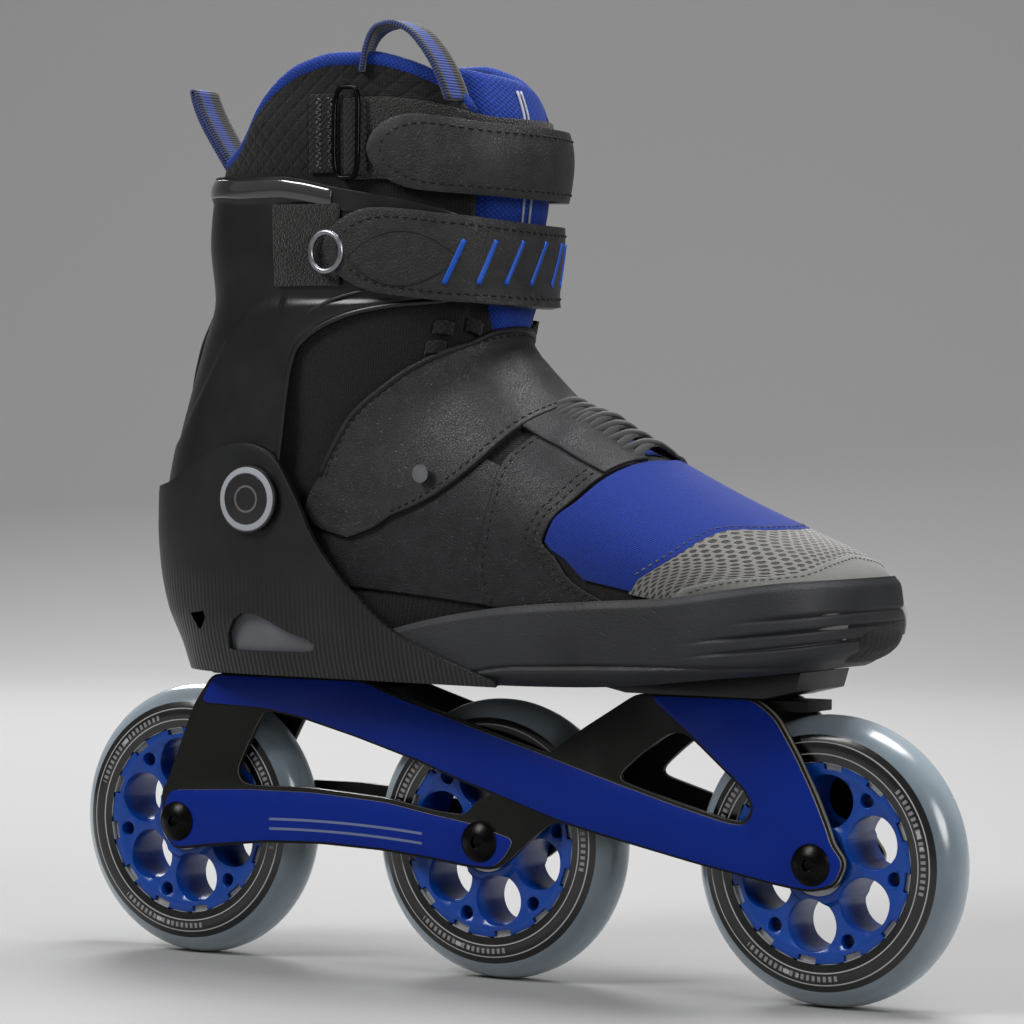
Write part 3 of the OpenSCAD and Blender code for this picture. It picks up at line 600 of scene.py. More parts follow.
def toe_net():
    """Grey padded net with rows of dark oval holes."""
    s = Shader("toe_mesh", rough=0.85, sheen=0.3, specular=0.3)
    u, v = s.st()[0], s.st()[1]
    pitch = 4.4
    row = s.math("FLOOR", s.math("DIVIDE", v, pitch * 0.5))
    odd = s.mul(s.math("FLOORED_MODULO", row, 2.0), pitch * 0.5)
    a = s.sub(s.math("FLOORED_MODULO", s.add(u, odd), pitch), pitch / 2)
    b = s.sub(s.math("FLOORED_MODULO", v, pitch * 0.5), pitch * 0.25)
    d = s.distance(s.math("DIVIDE", a, 1.55), s.math("DIVIDE", b, 0.8))
    solid = s.ramp(d, 0.75, 1.1)
    nap = s.noise(1700, 4)
    cloth = s.mix(nap, rgb(74, 73, 70), rgb(116, 114, 110))
    s.colour(s.mix(solid, rgb(38, 38, 36), cloth))
    s.add_height(solid, 0.7)
    s.add_height(nap, 0.12)
    return s.done()


def hook_cloth():
    """Hook-and-loop patch: a dense field of small hooks."""
    s = Shader("hook_patch", rough=0.9, sheen=0.2, specular=0.3)
    hooks = s.ramp(s.cells(1150), 0.25, 0.55)
    s.colour(s.mix(s.mul(hooks, s.noise(700, 3)), rgb(3, 3, 3), rgb(42, 40, 37)))
    s.add_height(hooks, 0.7)
    return s.done()


LOOP_WIDTH = 13.0


def loop_webbing():
    """Black webbing with a blue stripe down its middle, ribbed across."""
    s = Shader("striped_webbing", rough=0.8, sheen=0.3, specular=0.3)
    around, along = s.st()[0], s.st()[1]
    ribs_across = s.math("ABSOLUTE", s.sine(along, math.pi / 1.1))
    across = s.math("FLOORED_MODULO", around, LOOP_WIDTH)
    middle = s.math("ABSOLUTE", s.sub(across, LOOP_WIDTH * 0.42))
    blue = s.ramp(middle, LOOP_WIDTH * 0.26, LOOP_WIDTH * 0.22)
    cloth = s.mix(blue, rgb(20, 19, 18), rgb(8, 48, 128))
    s.colour(s.mix(s.ramp(ribs_across, 0.0, 0.6), rgb(6, 8, 14), cloth))
    s.add_height(ribs_across, 0.3)
    return s.done()


def frame_paint():
    """Blue raised panels with a fine satin, black recessed walls, light machined edges, and a
    painted highlight along the front strut's front edge.
    """
    s = Shader("frame_paint", rough=0.4, specular=0.14)
    x, y, z = s.split(s.coords)
    facing = s.math("ABSOLUTE", s.normal()[1])
    depth = s.math("ABSOLUTE", y)
    panel = s.mul(s.ramp(depth, 0.01685, 0.01692), s.ramp(facing, 0.8, 0.95))
    side = s.mul(s.ramp(depth, 0.0145, 0.0150), s.ramp(facing, 0.75, 0.35))
    # Painted highlight: the front strut's front edge faces are coloured light like lit metal.
    painted_front_highlight = s.mul(side, s.ramp(x, 0.098, 0.112))
    corner = s.mul(s.ramp(depth, 0.01590, 0.01605), s.ramp(facing, 0.9, 0.6))
    machined_edge_and_highlight = s.math("MAXIMUM", s.mul(corner, 0.55), painted_front_highlight)
    drift = s.noise(22, 3)
    blue = s.mix(drift, rgb(0, 26, 104), rgb(0, 34, 122))
    black = s.mix(s.noise(60, 4), rgb(13, 13, 12), rgb(24, 24, 22))
    stripe_x = s.between(x, -0.090, -0.024, 0.0005)
    lines = None
    for height in (0.0500, 0.0535):
        slope = s.add(s.mul(s.math("POWER", s.add(x, 0.07), 2.0), -0.9), height)
        away = s.math("ABSOLUTE", s.sub(z, slope))
        line = s.ramp(away, 0.00055, 0.00035)
        lines = line if lines is None else s.math("MAXIMUM", lines, line)
    mark = s.mul(s.mul(lines, stripe_x), panel)
    base = s.mix(panel, black, blue)
    base = s.mix(mark, base, rgb(96, 104, 132))
    # Machined edge colour all round, plus the painted highlight on the front strut's front edge.
    s.colour(s.mix(machined_edge_and_highlight, base, rgb(190, 184, 168)))
    s.link(s.mul(machined_edge_and_highlight, 0.85), s.bsdf.inputs["Metallic"])
    s.roughness(s.blend(s.noise(260, 4), 0.30, 0.48))
    s.add_height(s.noise(2400, 2), 0.02)
    return s.done()


def hub_paint():
    """Satin blue nylon."""
    s = Shader("hub_nylon", rough=0.28, coat=0.15, specular=0.35)
    s.colour(s.mix(s.noise(70, 4), rgb(0, 44, 116), rgb(0, 60, 142)))
    s.roughness(s.blend(s.noise(300, 3), 0.22, 0.4))
    s.add_height(s.noise(1500, 2), 0.03)
    return s.done()


# Radii of the print on a wheel's side, in metres: band, its two rings, tick marks and bars
BAND = (0.0343, 0.0438)
BAND_RINGS = ((0.0371, 0.0375), (0.0412, 0.0416))
TICKS = (0.0384, 0.0402)
BARS = (0.0386, 0.0400)


def tyre_mat(name, axle_x):
    """Smoky urethane with a painted light that lightens it towards its silhouette, and a printed
    black band on each side: two thin rings and tick marks.
    """
    s = Shader(name, rough=0.2, coat=0.4)
    x, y, z = s.split(s.coords)
    dx, dz = s.sub(x, axle_x), s.sub(z, AXLE_Z)
    radius = s.distance(dx, dz)
    turn = s.math("ARCTAN2", dz, dx)
    side = s.ramp(s.math("ABSOLUTE", y), 0.0070, 0.0085)
    band = s.mul(s.between(radius, *BAND, 0.00012), side)
    rings = s.math("MAXIMUM", *[s.between(radius, *ring_span, 0.0001) for ring_span in BAND_RINGS])
    fine = s.math("GREATER_THAN", s.sine(turn, 116.0), -0.1)
    thirds = s.math("SINE", s.add(s.mul(turn, 3.0), 0.8))
    ticks = s.mul(s.mul(fine, s.math("GREATER_THAN", thirds, 0.15)),
                  s.between(radius, *TICKS, 0.00012))
    bars = s.mul(s.math("GREATER_THAN", s.sine(turn, 46.0), 0.1),
                 s.between(radius, *BARS, 0.00012))
    bars = s.mul(bars, s.math("GREATER_THAN", thirds, 0.97))
    printed = s.math("MAXIMUM", rings, s.math("MAXIMUM", s.mul(ticks, 0.55), bars))
    # Painted light: the urethane's colour lightens towards its silhouette as if lit through, with
    # random tone drift added on top.
    facing = s.tree.nodes.new("ShaderNodeLayerWeight")
    facing.inputs["Blend"].default_value = 0.45
    painted_edge_light_and_tone = s.add(s.mul(facing.outputs["Facing"], 0.85), s.mul(s.noise(55, 4), 0.25), clamp=True)
    urethane = s.mix(painted_edge_light_and_tone, rgb(72, 84, 92), rgb(166, 178, 186))
    keys = s.ramp(radius, 0.0345, 0.0343)
    base = s.mix(band, urethane, s.mix(printed, rgb(5, 5, 5), rgb(150, 150, 148)))
    s.colour(s.mix(keys, base, rgb(138, 140, 142)))
    s.roughness(s.blend(s.noise(240, 4), 0.14, 0.32))
    s.bsdf.inputs["Subsurface Weight"].default_value = 0.12
    s.bsdf.inputs["Subsurface Radius"].default_value = (0.004, 0.005, 0.006)
    s.add_height(s.noise(500, 3), 0.02)
    return s.done()


def brushed(name, dark, light, rough=0.3):
    """Plain metal with a cloudy finish."""
    s = Shader(name, rough=rough, metal=1.0)
    s.colour(s.mix(s.noise(260, 4), dark, light))
    s.roughness(s.blend(s.noise(900, 4), rough - 0.08, rough + 0.12))
    s.add_height(s.noise(1800, 2), 0.02)
    return s.done()


def cap_paint():
    """Pivot cap: light ring round a black disc, with a plain centred ring mark."""
    s = Shader("pivot_cap", rough=0.35, coat=0.2)
    x, y, z = s.split(s.coords)
    low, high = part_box("pivot_pins")
    centre = (low + high) / 2
    radius = s.distance(s.sub(x, centre.x), s.sub(z, centre.z))
    rim_ring = s.between(radius, 0.0092, 0.0114, 0.0001)
    mark = s.between(radius, 0.0042, 0.0049, 0.0001)
    disc = s.mix(s.noise(200, 3), rgb(12, 12, 13), rgb(20, 20, 21))
    disc = s.mix(mark, disc, rgb(84, 86, 90))
    s.colour(s.mix(rim_ring, disc, rgb(140, 143, 148)))
    s.roughness(s.blend(s.noise(300, 3), 0.25, 0.42))
    s.add_height(s.between(radius, 0.0090, 0.0093, 0.0001), -0.3)
    return s.done()


mesh_mat = body_cloth()
suede_mat = suede()
net_mat = toe_net()
hook_mat = hook_cloth()
loop_mat = loop_webbing()
frame_mat = frame_paint()
hub_mat = hub_paint()
cap_mat = cap_paint()
steel_mat = brushed("steel", rgb(120, 122, 126), rgb(158, 160, 164))
black_steel = brushed("black_steel", rgb(16, 16, 16), rgb(34, 33, 32), 0.26)

# ------------------------------------------------------------------ CAD parts that stay


def smooth_nodes():
    """Modifier nodes that shade a mesh smooth without its stored normals."""
    tree = bpy.data.node_groups.new("smooth_shading", "GeometryNodeTree")
    for way in ("INPUT", "OUTPUT"):
        tree.interface.new_socket("Geometry", in_out=way, socket_type="NodeSocketGeometry")
    chain = [tree.nodes.new(kind) for kind in (
        "NodeGroupInput", "GeometryNodeRemoveAttribute", "GeometryNodeSetShadeSmooth",
        "NodeGroupOutput")]
    chain[1].inputs["Name"].default_value = "custom_normal"
    for before, after in zip(chain, chain[1:]):
        tree.links.new(before.outputs[0], after.inputs[0])
    return tree


SMOOTH_NODES = smooth_nodes()


def finish_cad(node, mat, bevel=0.0):
    """Keeps a CAD node's mesh as it is, and adds a material and modifiers for its shading."""
    obj = NODES[node]
    obj.data.materials.clear()
    obj.data.materials.append(mat)
    obj.modifiers.new("smooth", "NODES").node_group = SMOOTH_NODES
    weld = obj.modifiers.new("weld", "WELD")
    weld.merge_threshold = 2e-5
    if bevel:
        round_edges(obj, bevel, 35)
    split = obj.modifiers.new("sharp", "EDGE_SPLIT")
    split.split_angle = math.radians(32)
    return obj


finish_cad("frame", frame_mat, 0.3)
for name in ("rocker_spacers", "front_mount_block", "rear_mount_pad"):
    finish_cad(name, black_moulded, 0.3)
for name in ("mount_bolts", "mount_inserts", "bearing_inner_rings", "bearing_spacers",
             "pivot_pins", "instep_strap_rivet"):
    finish_cad(name, steel_mat)
for name in ("axle_sleeves", "axle_screws"):
    finish_cad(name, black_steel, 0.2)
finish_cad("pivot_caps", cap_mat)
for wheel in WHEELS:
    low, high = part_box("tyre_" + wheel)
    finish_cad("tyre_" + wheel, tyre_mat("urethane_" + wheel, (low.x + high.x) / 2))
    finish_cad("hub_" + wheel, hub_mat, 0.5)
    for part in ("bearing_outer_rings_", "bearing_shields_", "bearing_balls_"):
        finish_cad(part + wheel, steel_mat)
    finish_cad("bearing_cages_" + wheel, grey_plastic)

# ------------------------------------------------------------------ padded boot body

collar_rim = curve([[0, 251], [24, 252], [30, 268], [33, 303], [46, 316], [58, 321.5], [70, 324.5],
    [81, 324.5], [93, 320], [103, 314.5], [112, 307], [118, 299], [126, 293], [140, 290],
    [180, 289]])
WALL = 6.5
FOOT_ROWS = 76
LEG_ROWS = 40
RIM_ARC = np.radians(np.linspace(20, 180, 8))


def boot_body():
    """One padded sock from the toe up to the collar, over its rim and down inside."""
    turns = np.concatenate([np.linspace(-40, 40, 41)[:-1], np.linspace(40, 320, 113)[:-1]])
    gap = turn_gap(turns)
    rows = []
    # The throat under the laces is sunk, and so is the heel under its shell
    for k in np.linspace(0.0, LAST_RING, FOOT_ROWS):
        throat = 2.6 * step(gap, 16, 11) * step(k, 5.0, 5.5)
        rows.append(foot(k, turns, -1.3 * step(k, 12.4, 10.5) * step(gap, 178, 150) - throat))
    low, top = collar_low_z(turns), collar_rim(gap)
    tuck = 4.5 * step(gap, 36, 28)
    # The padding puffs out at the collar and the ankle, and makes room for the tongue in front
    for v in np.linspace(0.08, 1, LEG_ROWS):
        z = low + (top - low) * v
        puff = 1.3 * np.sin(np.pi * step(z, 286, 322)) + 0.7 * np.sin(np.pi * step(z, 225, 262))
        rows.append(leg(z, turns, 0.6 + puff - tuck))
    for a in RIM_ARC:
        rows.append(leg(top + 3.0 * math.sin(a), turns, 0.6 - tuck - WALL / 2 * (1 - math.cos(a))))
    for v in np.linspace(0.93, 0.0, 18):
        rows.append(leg(low + (top - low) * v, turns, 0.6 - tuck * 0.6 - WALL))
    for k in np.linspace(LAST_RING, 1.2, 30):
        rows.append(foot(k, turns, -5))
    obj = grid_object("boot_body", np.stack(rows), wrap=True, caps=True,
                      centre=np.array([0.0, 0.0, 150.0]))
    recalc(obj)
    obj.data.materials.append(mesh_mat)
    obj.data.materials.append(lining_mat)
    # The lining starts just over the rim
    lining_start = (FOOT_ROWS + LEG_ROWS + 5) * len(turns)
    for polygon in obj.data.polygons:
        if len(polygon.vertices) == 4 and min(polygon.vertices) >= lining_start:
            polygon.material_index = 1
    return obj


def bend_with_cuff(obj, *nodes):
    """Soft piece that stands for the CAD nodes: hides them and bakes its placement into its mesh.
    """
    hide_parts(*nodes)
    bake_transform(obj)


bend_with_cuff(boot_body(), "boot_upper", "collar")

# ------------------------------------------------------------------ tongue

tongue_top = curve([[-52, 298], [-40, 304], [-30, 309], [-20, 313], [-10, 315.5], [0, 317],
    [10, 318], [20, 319], [30, 320.5], [40, 321.3], [52, 319]])


TONGUE_TURN = 52
TONGUE_KNEE = 240.0
TONGUE_FOOT = (5.2, LAST_RING - 0.6)
TONGUE_SHARE = 0.62


def tongue():
    """Padded tongue: up the instep, up the shin, over its top and down its inner side."""
    turns = np.linspace(-TONGUE_TURN, TONGUE_TURN, 53)
    gap = np.abs(turns)
    out = -0.6 - 6.2 * step(gap, 22, 40) + 1.2 * np.cos(np.radians(gap * 90 / TONGUE_TURN))
    thick = 6.0 * np.cos(np.radians(gap * 88 / TONGUE_TURN)) ** 0.5 + 1.2
    top = tongue_top(turns)

    def shin(v, off):
        width = TONGUE_SHARE + (1 - TONGUE_SHARE) * step(v, 0.0, 0.25)
        return leg(TONGUE_KNEE + (top - TONGUE_KNEE) * v, turns * width, off)

    rows = [foot(k, turns * TONGUE_SHARE, out * 0.3 - 1.9) for k in np.linspace(*TONGUE_FOOT, 22)]
    rows += [shin(v, out + 0.6 * np.sin(v * np.pi * 3) ** 2) for v in np.linspace(0.02, 1, 30)]
    rows += [leg(top + thick / 2 * math.sin(a), turns, out - thick / 2 * (1 - math.cos(a)))
             for a in np.radians(np.linspace(20, 180, 7))]
    rows += [shin(v, out - thick) for v in np.linspace(0.95, 0.02, 16)]
    rows += [foot(k, turns * TONGUE_SHARE, out * 0.3 - 1.9 - thick * 0.5)
             for k in np.linspace(*TONGUE_FOOT[::-1], 12)]
    obj = grid_object("tongue_pad", np.stack(rows), centre=np.array([-40.0, 0.0, 250.0]))
    recalc(obj)
    obj.data.materials.append(blue_cloth)
    return obj


bend_with_cuff(tongue(), "tongue")
for index, turn in enumerate((3.0, 7.6)):
    z = np.linspace(258, 316, 30)
    lean = turn + (5.3 - turn) * 0.5 * step(z, 285, 312)
    cord = tube_object("tongue_cord_%d" % index, leg(z, lean, 1.3), 0.5, 6, up=(1, 0, 0))
    dress(cord, white_cord, "cuff")

# ------------------------------------------------------------------ collar piping and loops

turns = np.linspace(34, 326, 150)
rim_path = leg(collar_rim(turn_gap(turns)) + 2.0, turns, -1.6)
dress(tube_object("collar_edge", rim_path, 3.0, 12), blue_cloth, "cuff",
      "collar_piping")

steps = np.linspace(0, 1, 49)


def through(xs, zs, y):
    """Smooth path of a webbing loop through the knots (x, z), at the given y."""
    knots = np.linspace(0, 1, len(xs))
    x, z = (curve(list(zip(knots, values)))(steps) for values in (xs, zs))
    return np.stack([x, y + 0 * steps, z], -1)


PULL_X = (-37.3, -36.4, -34.6, -30.6, -24.6, -18.2, -11.2, -5.4, -2.6)
PULL_Z = (322.0, 329.0, 334.4, 338.0, 339.0, 336.6, 329.4, 319.4, 311.6)
twist = np.radians(20 - 26 * step(steps, 0.15, 0.6))
across = np.stack([-np.sin(twist), np.cos(twist), 0 * twist], -1)
loop_path = through(PULL_X, PULL_Z, -37 + 6.5 * steps)
dress(band_object("collar_loop", loop_path, across, LOOP_WIDTH, 1.7), loop_mat, "cuff",
      "collar_pull_loop")

HEEL_X = (-112, -115.5, -120, -124.5, -128.6, -131.4, -132.8, -133.4, -132.4, -129.8, -126, -121.4,
          -117, -112.6, -109)
HEEL_Z = (284, 289, 295.5, 302, 308.4, 314, 318, 320.6, 320.4, 314.6, 308, 301, 295, 289.4, 285)
heel_loop = band_object("heel_loop", through(HEEL_X, HEEL_Z, 0), (0, 1, 0), LOOP_WIDTH + 2, 1.6)
dress(heel_loop, loop_mat, "cuff", "heel_pull_loop")

# ------------------------------------------------------------------ cuff

cuff_low = curve([[22, 258], [26, 250], [32, 244.5], [43, 241.5], [63, 239.6], [75, 237],
    [84, 232.4], [89.5, 226.5], [92.6, 217], [94.2, 204], [95.4, 188], [97.5, 166], [101, 153],
    [108, 148.5], [119, 150], [138, 162], [160, 174], [180, 178]])
cuff_high = curve([[22, 266], [29, 268], [43, 272], [63, 277], [79, 281], [95, 285.5],
    [110, 285.5], [130, 286.5], [180, 287]])
cuff_ridge = curve([[20, 240], [60, 241], [98, 241], [112, 236], [122, 227], [135, 208],
    [150, 192], [180, 184]])
CUFF_OUT = 3.4


def cuff():
    """Hinged shell round the leg, open in front, with a step along its ridge and a top lip."""
    side = np.concatenate([np.linspace(22, 62, 30)[:-1], np.linspace(62, 104, 80)[:-1],
                           np.linspace(104, 180, 42)])
    turns = np.concatenate([side, 360 - side[-2::-1]])
    gap = turn_gap(turns)
    low, high = cuff_low(gap), cuff_high(gap)
    rows = []
    # Steps in across the ridge, out again at the top lip; the front edges hug the boot
    for v in np.linspace(0, 1, 64):
        z = low + (high - low) * v
        seat = 0.9 * step(z, cuff_ridge(gap) - 1.2, cuff_ridge(gap) + 1.2)
        lip = 1.0 * step(z, high - 8.6, high - 7.2) * step(gap, 66, 72)
        hug = 0.9 * step(v, 0.06, 0.0) * step(gap, 100, 90) + 1.6 * step(gap, 60, 30)
        rows.append(leg(z, turns, CUFF_OUT - seat + lip - hug))
    sheet("cuff_shell", rows, 2.4, 0.5, cuff_mat, "cuff", "cuff")


cuff()
for side_name, sign in SIDES:
    edge_turn = np.linspace(40, 99, 90)
    edge = leg(cuff_low(edge_turn) + 0.2, sign * edge_turn, CUFF_OUT - 0.9)
    bead = tube_object("cuff_edge_" + side_name, edge, 1.15, 8, up=(0.3, 1, 0.2))
    dress(bead, cuff_mat, "cuff")
    lip_turn = np.linspace(44, 88, 70)
    rise = cuff_low(lip_turn) + 5.5 + 0.05 * (lip_turn - 44)
    crease = tube_object("cuff_crease_" + side_name, leg(rise, sign * lip_turn, CUFF_OUT - 0.4),
                         np.linspace(0.25, 0.8, 70), 8, up=(0.3, 1, 0.2))
    dress(crease, cuff_mat, "cuff")

# Glossy strips along the cuff's top lip, their lighter grey partly a painted highlight.
gloss_turns = np.linspace(81, 176, 90)
for side_name, sign in SIDES:
    rows = [leg(cuff_high(gloss_turns) - 7.4 + 6.4 * v, sign * gloss_turns,
                CUFF_OUT + 0.35 + 0.5 * math.sin(math.pi * v))
            for v in np.linspace(0, 1, 10)]
    sheet("cuff_gloss_and_highlight_" + side_name, rows, 0.6, 0.2, gloss_and_highlight_mat, "cuff")

back_turns = np.linspace(165, 195, 25)
plate_rows = [leg(207 + 38 * v, 180 + (back_turns - 180) * (0.55 + 0.45 * math.sin(v * 3.1)),
                  CUFF_OUT + 1.7) for v in np.linspace(0, 1, 24)]
sheet("cuff_back_panel", plate_rows, 1.6, 0.6, black_moulded, "cuff",
      "cuff_back_plate")

# ------------------------------------------------------------------ heel shell

outer_half = curve([[-62, 37], [-20, 40.5], [20, 44], [60, 47], [95, 47.5]])
inner_half = curve([[-62, 37], [-20, 37.5], [20, 40], [60, 45], [95, 47.5]])
shell_top = curve([[24, 108.4], [18, 110.4], [4, 115.5], [-10, 120.6], [-22, 127], [-32, 135],
    [-40, 141.5], [-47, 149], [-52, 155], [-56, 161], [-60, 169], [-66, 179], [-70, 184.6],
    [-77, 188.7], [-86, 190.6], [-96, 189.2], [-106, 186], [-117, 180.4], [-127, 176],
    [-147, 173]])
SHELL_OUT = 6.6
SHELL_BOTTOM = 107.1
ANKLE_HALF = 37.0


def heel_side(z, x, off):
    """Half width of the heel at height z, carried forward along x, moved out by off."""
    return leg_half(z) - ANKLE_HALF + outer_half(x) + off


def heel_shell():
    """Ribbed shell under and behind the ankle, with a window on each side and a slot behind it."""
    straight = np.linspace(23, -61, 34)
    bend = np.concatenate([np.linspace(91.5, 100, 10)[:-1], np.linspace(100, 180, 50)])
    columns = []
    v = np.linspace(0, 1, 34)
    for x in straight:
        z = SHELL_BOTTOM + (float(shell_top(x)) - SHELL_BOTTOM) * v
        columns.append(np.stack([0 * v + x, -heel_side(z, x, SHELL_OUT), z], -1))
    for f in bend:
        x = float(leg(165, f, SHELL_OUT)[0])
        z = SHELL_BOTTOM + (float(shell_top(x)) - SHELL_BOTTOM) * v
        crease = 0.6 * np.exp(-((z - 132 + 0.5 * (f - 100)) / 5) ** 2) * step(f, 96, 104)
        columns.append(leg(z, f, SHELL_OUT + crease * step(f, 150, 120)))
    mirror = [c * np.array([1, -1, 1]) for c in columns[-2::-1]]
    points = np.stack(columns + mirror, 1)
    obj = grid_object("heel_counter", points, centre=np.array([-62.0, 0.0, 150.0]))
    thicken(obj, 2.0, 0.45)
    for outline in (
            [(-94, 116.5), (-93.4, 122), (-90, 127), (-86, 129.4), (-80, 129.2), (-74, 127),
             (-66, 123.4), (-57, 120.6), (-54.5, 119), (-55.5, 117), (-60, 116.2), (-92, 115.8)],
            [(-114, 128.4), (-106, 129.6), (-105, 127), (-108.4, 122.6), (-110, 123)]):
        cutter = prism(outline, -60, 60)
        cut = obj.modifiers.new("window", "BOOLEAN")
        cut.object = cutter
        cut.solver = "EXACT"
        bake_modifiers(obj)
        bpy.data.objects.remove(cutter)
    split = obj.modifiers.new("sharp", "EDGE_SPLIT")
    split.split_angle = math.radians(40)
    dress(obj, shell_mat, "chassis", "heel_shell")


def prism(outline, y0, y1):
    """Solid outline (x, z) between y0 and y1."""
    count = len(outline)
    verts = [(x, y, z) for y in (y0, y1) for x, z in outline]
    faces = [tuple(range(count)), tuple(range(2 * count - 1, count - 1, -1))]
    faces += [(i, (i + 1) % count, count + (i + 1) % count, count + i) for i in range(count)]
    return recalc(new_object("cutter", verts, faces))


heel_shell()
PAD_OUT = 4.2
inserts = []
for sign in (-1, 1):
    z = np.linspace(112, 132, 10)
    columns = []
    for x in np.linspace(-50, -61, 6):
        columns.append(np.stack([0 * z + x, sign * heel_side(z, x, PAD_OUT), z], -1))
    for f in np.linspace(93, 124, 18):
        columns.append(leg(z, f, PAD_OUT) * np.array([1, -sign, 1]))
    piece = grid_object("insert", np.stack(columns, 1), centre=np.array([-70.0, 0.0, 120.0]))
    thicken(piece, 1.2, 0.2)
    inserts.append(bake_modifiers(piece))
dress(recalc(merge("heel_window_pads", inserts)), grey_plastic, "chassis",
      "heel_inserts")

# ------------------------------------------------------------------ rubber rand and sole

sole_z = curve([[-135, 107], [-20, 107.1], [20, 107.5], [51, 108.2], [72, 109.3], [103, 112.6],
    [131, 115.5], [152, 119.5]])
rand_top = curve([[-30, 124], [0, 131], [30, 135.5], [60, 138], [90, 140], [114, 143.6],
    [131, 146], [152, 147.5]])
toe_reach = curve([[0, 43.5], [0.08, 48], [0.2, 50.4], [0.35, 51.6], [0.6, 52.2], [0.85, 51.8],
    [1, 50.4]])
TOE_MID = 95.0
TOE_HALF = 47.5
TOE_POWER = 2.5
TOE_SHIFT = 4.0
RIM_REAR = -30.0
ARC_SHARE = 0.55


def rim(s, reach, off):
    """Plan path of the forefoot's rim, from the outer rear end (-1) by the toe (0) to 1."""
    s, reach, off = arrays(s, reach, off)
    t = np.radians(90 * np.clip(s / ARC_SHARE, -1, 1))
    c, q = superpow(np.cos(t), TOE_POWER), superpow(np.sin(t), TOE_POWER)
    back = np.clip((np.abs(s) - ARC_SHARE) / (1 - ARC_SHARE), 0, 1)
    x = TOE_MID + (RIM_REAR - TOE_MID) * back
    half = np.where(s < 0, outer_half(x), inner_half(x)) + off
    straight = np.abs(s) > ARC_SHARE
    return (np.where(straight, x, TOE_MID + (reach + off) * c),
            np.where(straight, np.sign(s) * half, TOE_SHIFT * c + (TOE_HALF + off) * q))


def rand():
    """Rubber band round the forefoot, grooved, drawn in where it meets the sole."""
    side = np.linspace(ARC_SHARE, 1, 40)
    s = np.concatenate([-side[::-1], np.linspace(-ARC_SHARE, ARC_SHARE, 90)[1:-1], side])
    rows = []
    for v in np.linspace(0, 1, 72):
        x, y = rim(s, toe_reach(v), 0.0)
        strip = 0.05 + 0.2 * step(x, 145, 60) * step(x, -10, 30)
        groove = 1.0 * np.exp(-((v - strip) / 0.02) ** 2)
        for height, depth, fade in ((0.29, 1.2, (96, 122)), (0.45, 1.2, (96, 122)),
                                    (0.61, 0.9, (112, 130))):
            groove = groove + depth * np.exp(-((v - height) / 0.018) ** 2) * step(x, *fade)
        belly = 0.8 * (math.sin(math.pi * v) - step(v, 0.9, 1.0))
        tuck = -5.0 * np.clip(1 - v / 0.18, 0, 1) ** 1.6
        x, y = rim(s, toe_reach(v), tuck + belly - groove)
        z = sole_z(x) + (rand_top(x) - sole_z(x)) * v
        rows.append(np.stack([x, y, z], -1))
    sheet("toe_rand", rows, 2.6, 0.5, rubber_mat, "chassis", "toe_bumper",
          FOOT_CENTRE)


rand()


def sole_layer(ends, counts, runs, power, least, inset, lift, dish):
    """Rows of a layer of the sole, inset from the rand, rounded at heel and toe, dished across."""
    layer = []
    for x in np.linspace(*ends, counts[0]):
        heel, toe = max(0, (LEG_MID - x) / runs[0]), max(0, (x - TOE_MID) / runs[1])
        narrow = max(least, 1 - max(heel, toe) ** power) ** (1 / power)
        a = TOE_SHIFT * toe - (float(outer_half(x)) - inset) * narrow
        b = TOE_SHIFT * toe + (float(inner_half(x)) - inset) * narrow
        y = np.linspace(a, b, counts[1])
        bowl = dish * ((y - (a + b) / 2) / max(1.0, (b - a) / 2)) ** 2
        layer.append(np.stack([np.full(counts[1], x), y, float(sole_z(x)) + lift + bowl], -1))
    return layer


tread = sole_layer((-118, 134), (60, 21), (58, 41), 2.3, 0.01, 6.5, 0.4, 0)
sheet("sole_tread", tread, 2.8, 0.6, rubber_mat, "chassis", "sole_plate",
      np.array([0.0, 0.0, 400.0]))
bed = sole_layer((-112, 122), (40, 17), (51, 28.5), 2.4, 0.02, 15, 11, 1.6)
sheet("insole", bed, 2.6, 0.6, lining_mat, "chassis", "footbed",
      np.array([0.0, 0.0, 60.0]))

# ------------------------------------------------------------------ forefoot panels


def foot_panel(name, mat, turn_range, low_k, high_k, off, thick, node=None, cols=70, rows=34,
               body_name="chassis", bevel=0.45, surface=foot):
    """Cut piece on the foot: low_k and high_k give its edges, in rings, at each turn."""
    turns = np.linspace(*turn_range, cols)
    low, high = low_k(turns), high_k(turns)
    points = [surface(low + (high - low) * v, turns, off) for v in np.linspace(0, 1, rows)]
    sheet(name, points, thick, bevel, mat, body_name, node, FOOT_CENTRE)


def even(table):
    """Curve of the turn that is the same on both sides."""
    line = curve(table)
    return lambda f: line(np.abs(f))


cap_edge = even([[0, 1.85], [15, 1.8], [35, 1.85], [50, 2.0], [62, 2.35], [75, 3.0], [92, 3.7]])
net_edge = even([[0, 2.95], [15, 3.05], [38, 3.5], [50, 3.63], [66, 3.8], [78, 4.0], [92, 4.3]])
vamp_edge = even([[0, 4.9], [20, 5.0], [45, 5.2], [60, 5.35], [75, 5.6], [84, 5.62], [90, 5.2],
    [94, 4.7]])

foot_panel("toe_suede", suede_mat, (-97, 97), even([[0, 0.5], [97, 0.5]]),
           lambda f: cap_edge(f) + 0.05, 0.5, 1.5, "toe_cap")
foot_panel("toe_net", net_mat, (-93, 93), cap_edge,
           lambda f: net_edge(f) + 0.04, 0.0, 0.9)
foot_panel("vamp_panel", vamp_mat, (-92, 92), net_edge, vamp_edge, 0.1, 1.1, "vamp")

